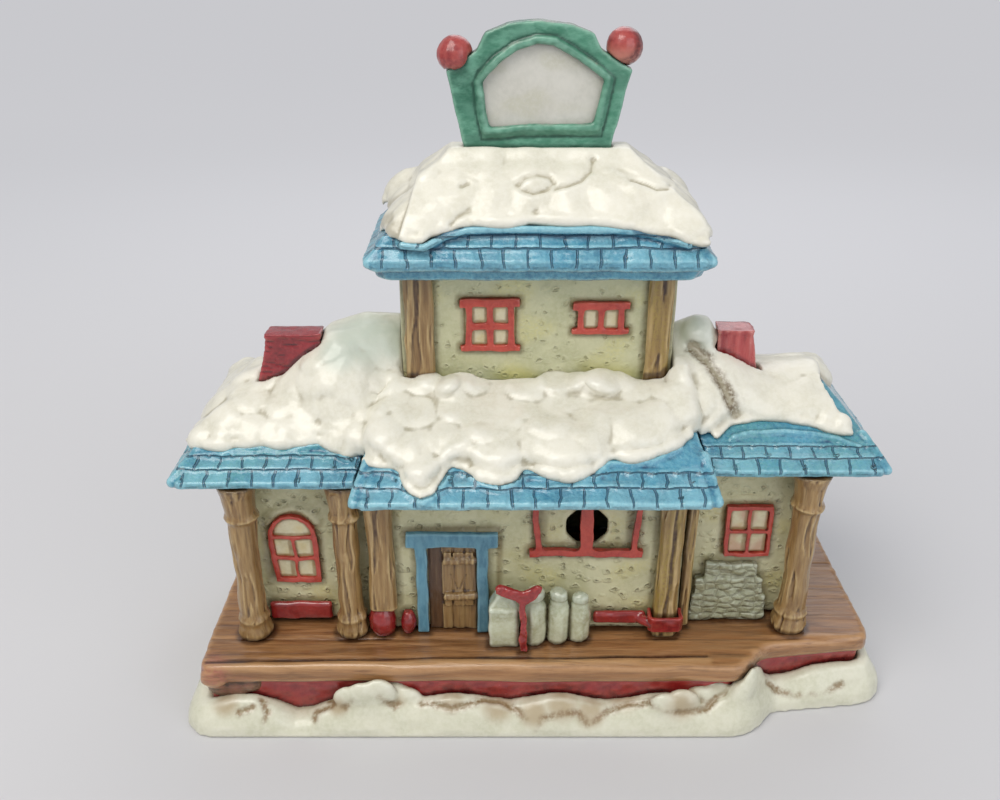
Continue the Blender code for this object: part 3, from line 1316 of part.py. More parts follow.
def clip(side, way):
    """One bent spring leaf on the side of the lamp holder, holding it in the hole."""
    near = LAMP_X + way * (HOLDER_RADIUS + GAP)
    reach = LAMP_HOLE_RADIUS - HOLDER_RADIUS - 3 * GAP - CLIP_THICKNESS
    back = SHELL_BACK - GAP
    bend = SHELL_BACK - WALL - 3 * MM
    front = bend - 11 * MM
    path = ((0.0, back), (0.0, back - 1.5 * MM), (reach, bend), (0.0, front), (0.0, front - 3 * MM))
    rings = []
    for lift, y in path:
        inner, outer = near + way * lift, near + way * (lift + CLIP_THICKNESS)
        half = CLIP_WIDTH / 2
        low, high = LAMP_Z - half, LAMP_Z + half
        rings.append([(inner, y, low), (outer, y, low), (outer, y, high), (inner, y, high)])
    return loft(f"spring_clip_{side}", rings, "spring_steel")


# Snow

def roof_height(x, y):
    """Height of the lower roof's surface over a point of the plan."""
    best = 0.0
    parts = (
        (LEFT_EAVES, wing_top(LEFT_EAVES, "left"), SOFFIT, WING_ROOF_TOP, "left"),
        (RIGHT_EAVES, wing_top(RIGHT_EAVES, "right"), RIGHT_SOFFIT, WING_ROOF_TOP, "right"),
        (BAY_EAVES, BAY_TOP, SOFFIT, BAY_ROOF_TOP, "both"),
    )
    for eave, top, soffit, top_z, hips in parts:
        if not (eave[0] <= x <= eave[1] and eave[2] <= y <= eave[3]):
            continue
        shares = [(y - eave[2]) / (top[2] - eave[2]), (eave[3] - y) / (eave[3] - top[3])]
        if hips in ("left", "both"):
            shares.append((x - eave[0]) / (top[0] - eave[0]))
        if hips in ("right", "both"):
            shares.append((eave[1] - x) / (eave[1] - top[1]))
        t = min(1.0, max(0.0, min(shares)))
        start = soffit + EAVE_THICKNESS
        best = max(best, start + (top_z - start) * t)
    return best


def edge_distance(x, y):
    """How far a point of the plan lies inside the nearest eave."""
    if x < BAY_ROOF_LEFT:
        front = y - LEFT_EAVE
    elif x > BAY_ROOF_RIGHT:
        front = y - RIGHT_EAVE
    else:
        front = y - BAY_EAVE
    return min(front, ROOF_BACK - y, x - ROOF_LEFT, ROOF_RIGHT - x)


def puff_row(start, end, count, radius, height):
    """A row of puffs from one point of the plan to another, alternately larger and smaller."""
    row = []
    for i in range(count):
        share = i / (count - 1)
        x, y = (a + (b - a) * share for a, b in zip(start, end))
        grown_by = 1 + 0.08 * (-1) ** i
        row.append((x, y, radius * grown_by, height * grown_by))
    return row


def all_puffs():
    """Every puff on the lower roof: those listed, and rows along the sides and the back."""
    found = [tuple(value * MM for value in puff) for puff in PUFFS]
    left, right, back = ROOF_LEFT + 11 * MM, ROOF_RIGHT - 13 * MM, ROOF_BACK - 11 * MM
    found += puff_row((left, back), (right, back), BACK_PUFFS, 8.5 * MM, 4.6 * MM)
    found += puff_row((left, 3 * MM), (left, back), SIDE_PUFFS, 9 * MM, 4.6 * MM)
    return found + puff_row((right, 5 * MM), (right, back), SIDE_PUFFS, 9 * MM, 4.6 * MM)


def snow_depth(x, y, puffs):
    """Depth of the snow over a point: a thin blanket with round puffs standing in it."""
    inside = (edge_distance(x, y) - SNOW_EDGE) / (6 * MM)
    depth = SNOW_BLANKET * min(1.0, max(0.0, inside))
    for px, py, radius, height in puffs:
        away = ((x - px) ** 2 + (y - py) ** 2) / radius**2
        if away < 1:
            depth = max(depth, height * math.sqrt(1 - away))
    return depth


def front_edge(x):
    """Where the snow on the lower roof ends at the front."""
    x /= MM
    points = SNOW_FRONT_EDGE
    if x <= points[0][0]:
        return points[0][1] * MM
    for (x0, y0), (x1, y1) in zip(points, points[1:]):
        if x <= x1:
            return (y0 + (y1 - y0) * (x - x0) / (x1 - x0)) * MM
    return points[-1][1] * MM


def right_end(y):
    """Where the snow ends at the right: short of the front hip, which stays bare."""
    top_front = wing_top(RIGHT_EAVES, "right")[2]
    up = min(1.0, max(0.0, (y - RIGHT_EAVE) / (top_front - RIGHT_EAVE)))
    bare = ROOF_RIGHT - RIGHT_HIP_RUN * up - SNOW_HIP_BARE
    past = min(1.0, max(0.0, (y - top_front) / SNOW_HIP_END))
    return bare + (ROOF_RIGHT - SNOW_HOLD_BACK - bare) * past


def reaches(rim, covered):
    """How far the snow reaches from each rim point, evened out between neighbours."""
    found = []
    for start, out, limit in rim:
        distance = limit
        while distance > 6 * MM and not covered(start + out * distance):
            distance -= 0.5 * MM
        found.append(distance)
    count = len(found)
    return [(found[i - 1] + 6 * found[i] + found[(i + 1) % count]) / 8 for i in range(count)]


def snow_sections(rim, covered, top_of, bottom):
    """Upright sections of a snow blanket, from its inner rim out to its edge."""
    sections = []
    for (start, out, _), reach in zip(rim, reaches(rim, covered)):
        section = []
        for row in range(SNOW_ROWS + 1):
            share = row / SNOW_ROWS
            point = start + out * reach * (1 - (1 - share) ** 1.5)
            section.append((point.x, point.y, top_of(point)))
        end = start + out * reach
        section.append((end.x, end.y, bottom))
        section.append((start.x, start.y, bottom))
        sections.append(section)
    return sections


def rim_points(inner, outer, counts):
    """Points round an inner rectangle, with a direction and a distance to an outer one."""
    rim = []
    for side, per_side in enumerate(counts):
        a, b = Vector(inner[side]), Vector(inner[(side + 1) % 4])
        c, d = Vector(outer[side]), Vector(outer[(side + 1) % 4])
        for step in range(per_side):
            start = a.lerp(b, step / per_side)
            end = c.lerp(d, step / per_side)
            rim.append((start, (end - start).normalized(), (end - start).length))
    return rim


def snow_lower():
    """The snow on the lower roof, in one piece round the tower, seated on the shingles."""
    puffs = all_puffs()
    clear = GAP + CORNER_POST_PROUD + GAP
    inner = rectangle(TOWER_LEFT - GAP, TOWER_RIGHT + GAP, TOWER_FRONT - clear, TOWER_BACK + clear)
    outer = rectangle(ROOF_LEFT, ROOF_RIGHT, BAY_EAVE, ROOF_BACK)

    def covered(point):
        if point.x > right_end(point.y) or edge_distance(point.x, point.y) < SNOW_HOLD_BACK:
            return False
        if point.y < SNOW_FRONT_PART:
            return point.y > front_edge(point.x)
        return snow_depth(point.x, point.y, puffs) > SNOW_LEAST

    def top_of(point):
        return roof_height(point.x, point.y) + GAP + max(SNOW_THIN, snow_depth(point.x, point.y, puffs))

    rim = rim_points(inner, outer, SNOW_STATIONS)
    sections = snow_sections(rim, covered, top_of, SOFFIT + SNOW_SUNK)
    snow = loft("snow_lower", sections, "snow_white", closed=True)
    clearances = [loft(f"chimney_{side}_clearance", chimney_rings(side, GAP)) for side in CHIMNEYS]
    return smooth(carve(snow, lower_roof_seats("snow") + clearances), 60)


def tower_roof_height(x, y):
    """Height of the tower roof's surface over a point of the plan."""
    left, right, front, back = TOWER_EAVES
    top_left, top_right, top_front, top_back = TOWER_ROOF_PLATEAU
    shares = (
        (y - front) / (top_front - front), (back - y) / (back - top_back),
        (x - left) / (top_left - left), (right - x) / (right - top_right),
    )
    start = TOWER_SOFFIT + CORNICE_HEIGHT + EAVE_THICKNESS
    return start + (TOWER_ROOF_TOP - start) * min(1.0, max(0.0, min(shares)))


def snow_upper():
    """The snow on the tower roof, over its ridge, with a slot for the sign's foot."""
    puffs = [tuple(value * MM for value in puff) for puff in TOWER_PUFFS]
    left, right, front, back = TOWER_EAVES
    west, east, north = left + 9 * MM, right - 9 * MM, back - 8 * MM
    puffs += puff_row((west, north), (east, north), TOWER_BACK_PUFFS, 7 * MM, 4.2 * MM)
    puffs += puff_row((west, 5 * MM), (west, north), TOWER_SIDE_PUFFS, 7.5 * MM, 4.4 * MM)
    puffs += puff_row((east, 4 * MM), (east, north), TOWER_SIDE_PUFFS, 7.5 * MM, 4.4 * MM)

    def inside(point):
        return min(point.x - left, right - point.x, point.y - front, back - point.y)

    def depth(point):
        deep = TOWER_BLANKET * min(1.0, max(0.0, (inside(point) - TOWER_EDGE) / (4 * MM)))
        for px, py, radius, height in puffs:
            away = ((point.x - px) ** 2 + (point.y - py) ** 2) / radius**2
            if away < 1:
                deep = max(deep, height * math.sqrt(1 - away))
        return deep

    def covered(point):
        return depth(point) > SNOW_LEAST and inside(point) > SNOW_HOLD_BACK

    def top_of(point):
        return tower_roof_height(point.x, point.y) + GAP + max(SNOW_THIN, depth(point))

    middle = rectangle(*TOWER_ROOF_PLATEAU)
    rim = rim_points(middle, rectangle(*TOWER_EAVES), TOWER_STATIONS)
    bottom = TOWER_SOFFIT + CORNICE_HEIGHT + GAP
    sections = snow_sections(rim, covered, top_of, bottom)
    crown = TOWER_ROOF_TOP + GAP + TOWER_CROWN
    first = [(*section[0][:2], crown) for section in sections]
    rings = [first] + [[section[row] for section in sections] for row in range(1, SNOW_ROWS + 2)]
    snow = smooth(loft("snow_upper", rings, "snow_white"), 60)
    eave_bottom = bottom - GAP
    top = TOWER_ROOF_PLATEAU
    seat = hip_rings(TOWER_EAVES, top, eave_bottom, TOWER_ROOF_TOP, ALL_CORNERS, TOWER_COURSES, GAP)
    cut(snow, loft("tower_snow_seat", seat))
    clear = offset_outline(sign_outline(0), GAP)
    slot = SIGN_THICKNESS + 2 * GAP
    return cut(snow, facade("sign_clearance", clear, RIDGE_Y - slot / 2, slot))


def main():
    """Clears the scene and models every piece."""
    for old in list(bpy.data.objects):
        bpy.data.objects.remove(old)
    snow_skirt()
    foundation()
    deck()
    lower_shell()
    roof_left_wing()
    roof_bay()
    roof_right_wing()
    tower_shell()
    tower_corner_posts()
    tower_roof()
    chimneys()
    snow_lower()
    snow_upper()
    window_frame(BAY_WINDOW, BAY_FACE)
    window_frame(LEFT_WINDOW, LEFT_WING_FACE)
    window_frame(RIGHT_WINDOW, RIGHT_WING_FACE)
    window_frame(TOWER_WINDOW_LEFT, TOWER_FRONT)
    window_frame(TOWER_WINDOW_RIGHT, TOWER_FRONT)
    door_frame()
    door()
    posts_and_columns()
    deck_goods()
    sign()
    lamp()


main()
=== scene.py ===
"""Looks of a lit ceramic village building, a small railway halt under snow.

The real house was modelled in soft clay, cast, painted by hand, rubbed with a brown
wash and glazed. Each visible piece is worked the same way here: the solid from the frame
is copied, lumps and rolls are pressed on, and it is fused, smoothed, carved and glazed.
Each glaze carries painted shade in hollows and where pieces meet, brown like the wash on
some finishes, and a painted highlight on crests.
"""

import logging
import math
from dataclasses import dataclass
from enum import Enum
from functools import cache
from typing import Callable, Iterable, Sequence

import bmesh
import bpy
import numpy as np
from mathutils import Matrix, Vector, noise
from mathutils.bvhtree import BVHTree


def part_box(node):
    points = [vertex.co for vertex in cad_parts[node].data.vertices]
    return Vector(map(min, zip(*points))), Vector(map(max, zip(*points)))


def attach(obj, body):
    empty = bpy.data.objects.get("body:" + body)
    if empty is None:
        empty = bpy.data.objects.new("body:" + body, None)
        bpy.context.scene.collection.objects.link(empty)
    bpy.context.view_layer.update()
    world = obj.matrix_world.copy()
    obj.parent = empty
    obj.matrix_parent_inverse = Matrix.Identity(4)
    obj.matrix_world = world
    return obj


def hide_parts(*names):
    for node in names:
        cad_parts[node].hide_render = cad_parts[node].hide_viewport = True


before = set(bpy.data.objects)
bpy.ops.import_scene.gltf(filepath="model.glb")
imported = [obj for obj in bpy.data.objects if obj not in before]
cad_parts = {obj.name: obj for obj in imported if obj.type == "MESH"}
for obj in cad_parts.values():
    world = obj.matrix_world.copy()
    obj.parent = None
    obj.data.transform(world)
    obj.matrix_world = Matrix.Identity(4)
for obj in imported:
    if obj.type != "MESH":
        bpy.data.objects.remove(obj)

LOG = logging.getLogger("village_house")
MM = 0.001
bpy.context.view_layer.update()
HOUSE = "house"

Field = Callable[[np.ndarray, np.ndarray], np.ndarray]
Colour = tuple[int, int, int]
Spot = tuple[float, float, float]


class Slot(Enum):
    """Material slots of the record, named with each worked piece's finish."""

    SNOW = "snow_white"
    SHINGLE = "shingle_blue"
    PLASTER = "plaster_cream"
    TIMBER = "timber_brown"
    DECK = "deck_brown"
    RED = "paint_red"
    BRICK = "brick_red"
    SIGN_GREEN = "sign_green"
    SIGN_PALE = "sign_pale"
    TRIM = "trim_blue"
    CAN = "can_pale"


class Relief(Enum):
    """Fine surface that a glaze's bump shows."""

    SOFT = "soft"
    DABS = "dabs"
    GRAIN = "grain"
    BRUSHED = "brushed"
    SHINGLES = "shingles"
    STONES = "stones"


# Small helpers

def linear(colour: Colour) -> tuple[float, float, float, float]:
    """Turns an sRGB colour of 0 to 255 into the linear one a shader takes.

    Args:
        colour: Red, green and blue.

    Returns:
        Red, green, blue and an alpha of 1.
    """
    shares = [value / 255 for value in colour]
    red, green, blue = (s / 12.92 if s <= 0.04045 else ((s + 0.055) / 1.055) ** 2.4 for s in shares)
    return red, green, blue, 1.0


def noise_at(points: np.ndarray, size: Sequence[float], seed: float = 0.0) -> np.ndarray:
    """Smooth noise of about -1 to 1, whose features have a size along X, Y and Z in millimetres."""
    places = points / np.array(size) + seed
    return np.array([noise.noise(place) for place in places.tolist()])


def rise(values: np.ndarray, low: float, high: float) -> np.ndarray:
    """Goes smoothly from 0 at low to 1 at high."""
    share = np.clip((values - low) / (high - low), 0.0, 1.0)
    return share * share * (3 - 2 * share)


def box_mm(node: str) -> tuple[Vector, Vector]:
    """Lowest and highest corner of a frame node, in millimetres."""
    low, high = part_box(node)
    return low / MM, high / MM


def apart_from(points: np.ndarray, line: Sequence[Vector]) -> np.ndarray:
    """Distance of points from a bent line.

    Args:
        points: Points in millimetres, one to a row.
        line: The line's corners.

    Returns:
        One distance for each point.
    """
    best = np.full(len(points), 1e6)
    for start, end in zip(line, line[1:]):
        begin, way = np.array(start), np.array(end - start)
        share = np.clip(((points - begin) @ way) / max(way @ way, 1e-9), 0, 1)
        best = np.minimum(best, np.linalg.norm(points - (begin + share[:, None] * way), axis=1))
    return best


@dataclass(frozen=True)
class PhotoCamera:
    """The camera that took the photograph, in millimetres and pixels."""

    place: tuple[float, float, float] = (-12.5, -262.0, 222.0)
    pitch_down: float = 26.5
    focal_px: float = 965.0
    width_px: int = 1000
    height_px: int = 800
    sensor_mm: float = 36.0

    def ray(self, px: float, py: float) -> Vector:
        """Direction from the camera through a pixel.

        Args:
            px: Pixels from the left edge.
            py: Pixels from the top edge.

        Returns:
            A unit vector.
        """
        tilt = math.radians(self.pitch_down)
        forward = Vector((0, math.cos(tilt), -math.sin(tilt)))
        up = Vector((0, math.sin(tilt), math.cos(tilt)))
        across = (px - self.width_px / 2) / self.focal_px
        above = (self.height_px / 2 - py) / self.focal_px
        return (forward + Vector((across, 0, 0)) + up * above).normalized()

    def pixels(self, points: np.ndarray) -> tuple[np.ndarray, np.ndarray]:
        """Pixels at which the camera shows some points.

        Args:
            points: Points in millimetres, one to a row.

        Returns:
            Pixels from the left edge and from the top edge.
        """
        tilt = math.radians(self.pitch_down)
        away = points - np.array(self.place)
        depth = away @ np.array((0, math.cos(tilt), -math.sin(tilt)))
        above = away @ np.array((0, math.sin(tilt), math.cos(tilt)))
        px = self.width_px / 2 + self.focal_px * away[:, 0] / depth
        return px, self.height_px / 2 - self.focal_px * above / depth

    def build(self) -> bpy.types.Object:
        """Makes the camera and sets it as the scene's.

        Returns:
            The camera object.
        """
        data = bpy.data.cameras.new("photo_camera")
        data.sensor_width = self.sensor_mm
        data.lens = self.focal_px * self.sensor_mm / self.width_px
        data.clip_start = 0.01
        data.clip_end = 50.0
        camera = bpy.data.objects.new("photo_camera", data)
        camera.location = Vector(self.place) * MM
        camera.rotation_euler = (math.radians(90 - self.pitch_down), 0, 0)
        bpy.context.scene.collection.objects.link(camera)
        bpy.context.scene.camera = camera
        return camera


VIEW = PhotoCamera()


class Frame:
    """Surfaces of the frame, to set pieces on and to find where pieces meet."""

    _trees: dict[tuple[str, ...], BVHTree] = {}

    @classmethod
    def tree(cls, names: Iterable[str]) -> BVHTree:
        """Search tree over some nodes' faces, in millimetres.

        Args:
            names: Names of the nodes.

        Returns:
            The tree, made once for each set of names.
        """
        key = tuple(sorted(names))
        if key not in cls._trees:
            points: list[Vector] = []
            faces: list[list[int]] = []
            for name in key:
                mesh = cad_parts[name].data
                start = len(points)
                points += [vertex.co / MM for vertex in mesh.vertices]
                faces += [[start + i for i in polygon.vertices] for polygon in mesh.polygons]
            cls._trees[key] = BVHTree.FromPolygons(points, faces)
        return cls._trees[key]

    @classmethod
    def seen_at(cls, px: float, py: float, names: Iterable[str]) -> tuple[Vector, Vector]:
        """The point of some nodes that a pixel of the photograph shows.

        Args:
            px: Pixels from the left edge.
            py: Pixels from the top edge.
            names: Names of the nodes.

        Returns:
            The point and the surface's direction there, in millimetres.
        """
        tree = cls.tree(names)
        start, way = Vector(VIEW.place), VIEW.ray(px, py)
        point, normal, _, _ = tree.ray_cast(start, way)
        if point is None:
            nearest = tree.find_nearest(start + way * 300)
            return nearest[0], nearest[1]
        return point, normal

    @classmethod
    def line_at(cls, pixels: Iterable[tuple[float, float]], names: Iterable[str]) -> list[Vector]:
        """Points of some nodes along a line of pixels, in millimetres."""
        names = tuple(names)
        return [cls.seen_at(px, py, names)[0] for px, py in pixels]

    @classmethod
    def patches(cls, points: np.ndarray, spots: Iterable[Spot], names: Iterable[str]) -> np.ndarray:
        """Share of soft round patches that lie round some pixels.

        Args:
            points: Points in millimetres, one to a row.
            spots: Pixels across, down and the patch's radius.
            names: Names of the nodes that carry them.

        Returns:
            1 in the middle of a patch and 0 outside all.
        """
        names = tuple(names)
        best = np.zeros(len(points))
        for px, py, size in spots:
            point, _ = cls.seen_at(px, py, names)
            reach = size * (point - Vector(VIEW.place)).length / VIEW.focal_px
            gone = np.linalg.norm(points - np.array(point), axis=1)
            best = np.maximum(best, 1 - rise(gone, 0.3 * reach, reach))
        return best

    @classmethod
    def below(cls, x: float, y: float, names: Iterable[str]) -> tuple[Vector, Vector] | None:
        """Highest point of some nodes over a place of the plan, with its direction, or None."""
        point, normal, _, _ = cls.tree(names).ray_cast(Vector((x, y, 300)), Vector((0, 0, -1)))
        return None if point is None else (point, normal)


class NodeTree:
    """Short ways to add and join shader nodes."""

    def __init__(self, tree: bpy.types.NodeTree) -> None:
        """Starts on a material's or a group's tree."""
        self.tree = tree

    def add(self, kind: str, **settings: object) -> bpy.types.Node:
        """Adds a node.

        Args:
            kind: The node's type name, without ShaderNode.
            settings: Attributes to set on it.

        Returns:
            The node.
        """
        node = self.tree.nodes.new(kind if kind.startswith("Node") else f"ShaderNode{kind}")
        for name, value in settings.items():
            setattr(node, name, value)
        return node

    def feed(self, socket: bpy.types.NodeSocket, value: object) -> None:
        """Links a socket into another, or sets its value.

        Args:
            socket: The input.
            value: An output socket, a number, a vector or a colour.
        """
        if isinstance(value, bpy.types.NodeSocket):
            self.tree.links.new(value, socket)
        else:
            socket.default_value = value

    def maths(self, operation: str, *values: object, clamp: bool = False) -> bpy.types.NodeSocket:
        """A Math node.

        Args:
            operation: The node's operation.
            values: Its inputs.
            clamp: Whether the result stays from 0 to 1.

        Returns:
            The result's socket.
        """
        node = self.add("Math", operation=operation, use_clamp=clamp)
        for socket, value in zip(node.inputs, values):
            self.feed(socket, value)
        return node.outputs[0]

    def mix(self, share: object, first: object, second: object) -> bpy.types.NodeSocket:
        """Mixes two colours.

        Args:
            share: How much of the second shows.
            first: A colour.
            second: A colour.

        Returns:
            The mixed colour's socket.
        """
        node = self.add("Mix", data_type="RGBA")
        self.feed(node.inputs[0], share)
        self.feed(node.inputs[6], first)
        self.feed(node.inputs[7], second)
        return node.outputs[2]

    def scaled(self, vector: object, scale: Sequence[float]) -> bpy.types.NodeSocket:
        """Scales coordinates, so that one unit is a millimetre or a stretched one.

        Args:
            vector: The coordinates.
            scale: Factor along each axis.

        Returns:
            The scaled coordinates.
        """
        mapping = self.add("Mapping")
        self.feed(mapping.inputs["Vector"], vector)
        mapping.inputs["Scale"].default_value = scale
        return mapping.outputs["Vector"]

    def noise(
        self, vector: object, scale: float, detail: float = 2.0, roughness: float = 0.5
    ) -> bpy.types.Node:
        """Smooth noise.

        Args:
            vector: Its coordinates.
            scale: How many features lie in a unit.
            detail: How many finer layers it has.
            roughness: How strong these are.

        Returns:
            The node.
        """
        node = self.add("TexNoise", noise_dimensions="3D")
        self.feed(node.inputs["Vector"], vector)
        node.inputs["Scale"].default_value = scale
        node.inputs["Detail"].default_value = detail
        node.inputs["Roughness"].default_value = roughness
        return node

    def ramp(self, value: object, low: float, high: float) -> bpy.types.NodeSocket:
        """Stretches a value smoothly to 0 at low and 1 at high.

        Args:
            value: The value.
            low: Value that gives 0.
            high: Value that gives 1.

        Returns:
            The stretched value's socket.
        """
        node = self.add("MapRange", interpolation_type="SMOOTHSTEP")
        self.feed(node.inputs["Value"], value)
        node.inputs["From Min"].default_value = low
        node.inputs["From Max"].default_value = high
        return node.outputs["Result"]


class Groups:
    """Shader node groups that the glazes share. Each is built once."""

    @staticmethod
    def _start(
        name: str, inputs: dict[str, str], outputs: dict[str, str]
    ) -> tuple[bpy.types.NodeTree, NodeTree, bpy.types.Node, bpy.types.Node]:
        """Makes an empty group.

        Args:
            name: The group's name.
            inputs: Socket names and types.
            outputs: Socket names and types.

        Returns:
            The group, its node helper, its input node and its output node.
        """
        group = bpy.data.node_groups.new(name, "ShaderNodeTree")
        for label, kind in inputs.items():
            group.interface.new_socket(label, in_out="INPUT", socket_type=f"NodeSocket{kind}")
        for label, kind in outputs.items():
            group.interface.new_socket(label, in_out="OUTPUT", socket_type=f"NodeSocket{kind}")
        helper = NodeTree(group)
        return group, helper, helper.add("NodeGroupInput"), helper.add("NodeGroupOutput")

    @classmethod
    @cache
    def brushwork(cls) -> bpy.types.NodeTree:
        """Paint laid on with a brush: broad patches and fine streaks of three colours.

        Returns:
            The group.
        """
        inputs = {"Vector": "Vector", "Dark": "Color", "Mid": "Color", "Light": "Color", "Streaks": "Float"}
        group, tree, into, out = cls._start("brushwork", inputs, {"Colour": "Color"})
        broad = tree.noise(into.outputs["Vector"], 0.11)
        fine = tree.noise(into.outputs["Vector"], 0.75, 5.0, 0.62)
        patches = tree.ramp(broad.outputs["Fac"], 0.36, 0.64)
        streaks = tree.ramp(fine.outputs["Fac"], 0.34, 0.66)
        share = tree.maths("MULTIPLY", streaks, into.outputs["Streaks"])
        ground = tree.mix(patches, into.outputs["Dark"], into.outputs["Mid"])
        tree.feed(out.inputs["Colour"], tree.mix(share, ground, into.outputs["Light"]))
        return group

    @classmethod
    @cache
    def painted_shade_and_highlight(cls) -> bpy.types.NodeTree:
        """Painted shade in the hollows and where pieces meet, brown like a wash on some finishes, and a
        painted highlight on the crests.

        Returns:
            The group.
        """
        inputs = {
            "Vector": "Vector", "Colour": "Color", "Shade And Wash": "Color", "Crest Highlight": "Color",
            "Wash Share": "Float", "Crest Share": "Float",
        }
        group, tree, into, out = cls._start("painted_shade_and_highlight", inputs, {"Colour": "Color"})
        hollow = tree.add("Attribute", attribute_name="shade_and_wash")
        crest_highlight = tree.add("Attribute", attribute_name="crest_highlight")
        breakup = tree.noise(into.outputs["Vector"], 0.5, 4.0)
        uneven = tree.maths("MULTIPLY_ADD", breakup.outputs["Fac"], 1.1, 0.45)
        shaded = tree.maths("MULTIPLY", hollow.outputs["Fac"], uneven)
        shaded = tree.maths("MULTIPLY", shaded, into.outputs["Wash Share"], clamp=True)
        highlighted = tree.maths("MULTIPLY", crest_highlight.outputs["Fac"], uneven)
        highlighted = tree.maths("MULTIPLY", highlighted, into.outputs["Crest Share"], clamp=True)
        lit = tree.mix(highlighted, into.outputs["Colour"], into.outputs["Crest Highlight"])
        tree.feed(out.inputs["Colour"], tree.mix(shaded, lit, into.outputs["Shade And Wash"]))
        return group

    @classmethod
    @cache
    def stain(cls) -> bpy.types.NodeTree:
        """Two more paints, which lie where the tint and stain attributes say; on some pieces the tint is
        painted shade.

        Returns:
            The group.
        """
        inputs = {"Vector": "Vector", "Colour": "Color", "Tint": "Color", "Stain": "Color"}
        group, tree, into, out = cls._start("stain", inputs, {"Colour": "Color", "Share": "Float"})
        place = tree.add("Attribute", attribute_name="stain")
        specks = tree.noise(into.outputs["Vector"], 1.1, 5.0)
        grain = tree.ramp(specks.outputs["Fac"], 0.3, 0.62)
        broken = tree.maths("MULTIPLY_ADD", grain, 0.75, 0.3)
        share = tree.maths("MULTIPLY", place.outputs["Fac"], broken, clamp=True)
        tint = tree.add("Attribute", attribute_name="tint")
        tinted = tree.mix(tint.outputs["Fac"], into.outputs["Colour"], into.outputs["Tint"])
        tree.feed(out.inputs["Colour"], tree.mix(share, tinted, into.outputs["Stain"]))
        tree.feed(out.inputs["Share"], share)
        return group

    @classmethod
    @cache
    def glaze_skin(cls) -> bpy.types.NodeTree:
        """The glaze's own surface: shallow ripples, fine orange peel and its gloss.

        Returns:
            The group.
        """
        inputs = {"Vector": "Vector", "Gloss": "Float"}
        group, tree, into, out = cls._start("glaze_skin", inputs, {"Height": "Float", "Roughness": "Float"})
        ripple = tree.noise(into.outputs["Vector"], 0.42, 3.0)
        peel = tree.noise(into.outputs["Vector"], 2.1, 3.0)
        height = tree.maths("MULTIPLY_ADD", peel.outputs["Fac"], 0.22, ripple.outputs["Fac"])
        tree.feed(out.inputs["Height"], height)
        rough = tree.maths("MULTIPLY_ADD", ripple.outputs["Fac"], 0.16, into.outputs["Gloss"])
        tree.feed(out.inputs["Roughness"], rough)
        return group

    @classmethod
    @cache
    def shingle_joints(cls) -> bpy.types.NodeTree:
        """Joints between shingles, drawn by hand over the courses.

        The tile_u attribute counts shingles along a course, tile_v counts courses up the
        slope, and tile_share says where joints are cut.

        Returns:
            The group.
        """
        outputs = {"Joint": "Float", "Tone": "Float", "Swell": "Float"}
        group, tree, into, out = cls._start("shingle_joints", {"Vector": "Vector"}, outputs)
        across = tree.add("Attribute", attribute_name="tile_u").outputs["Fac"]
        up = tree.add("Attribute", attribute_name="tile_v").outputs["Fac"]
        where = tree.add("Attribute", attribute_name="tile_share").outputs["Fac"]
        shake = tree.noise(into.outputs["Vector"], 0.22, 1.5)
        moved = tree.maths("SUBTRACT", shake.outputs["Fac"], 0.5)
        across = tree.maths("MULTIPLY_ADD", moved, 0.34, across)
        course = tree.maths("MAXIMUM", tree.maths("FLOOR", up), 0.0)
        odd = tree.maths("MODULO", course, 2.0)
        place = tree.maths("MULTIPLY_ADD", odd, 0.5, across)
        near = tree.maths("PINGPONG", place, 0.5)
        slit = tree.ramp(near, 0.066, 0.018)
        slit = tree.maths("MULTIPLY", slit, where)
        level = tree.maths("MULTIPLY_ADD", moved, 0.3, up)
        step = tree.ramp(tree.maths("PINGPONG", level, 0.5), 0.11, 0.02)
        step = tree.maths("MULTIPLY", step, tree.ramp(up, 0.45, 0.6))
        step = tree.maths("MULTIPLY", step, tree.ramp(up, 2.4, 2.2))
        tree.feed(out.inputs["Joint"], tree.maths("MAXIMUM", slit, step))
        number = tree.add("CombineXYZ")
        tree.feed(number.inputs["X"], tree.maths("FLOOR", place))
        tree.feed(number.inputs["Y"], course)
        chance = tree.add("TexWhiteNoise", noise_dimensions="2D")
        tree.feed(chance.inputs["Vector"], number.outputs["Vector"])
        tree.feed(out.inputs["Tone"], tree.maths("MULTIPLY", chance.outputs["Value"], where))
        swell = tree.maths("MULTIPLY", tree.ramp(near, 0.06, 0.3), where)
        tree.feed(out.inputs["Swell"], swell)
        return group


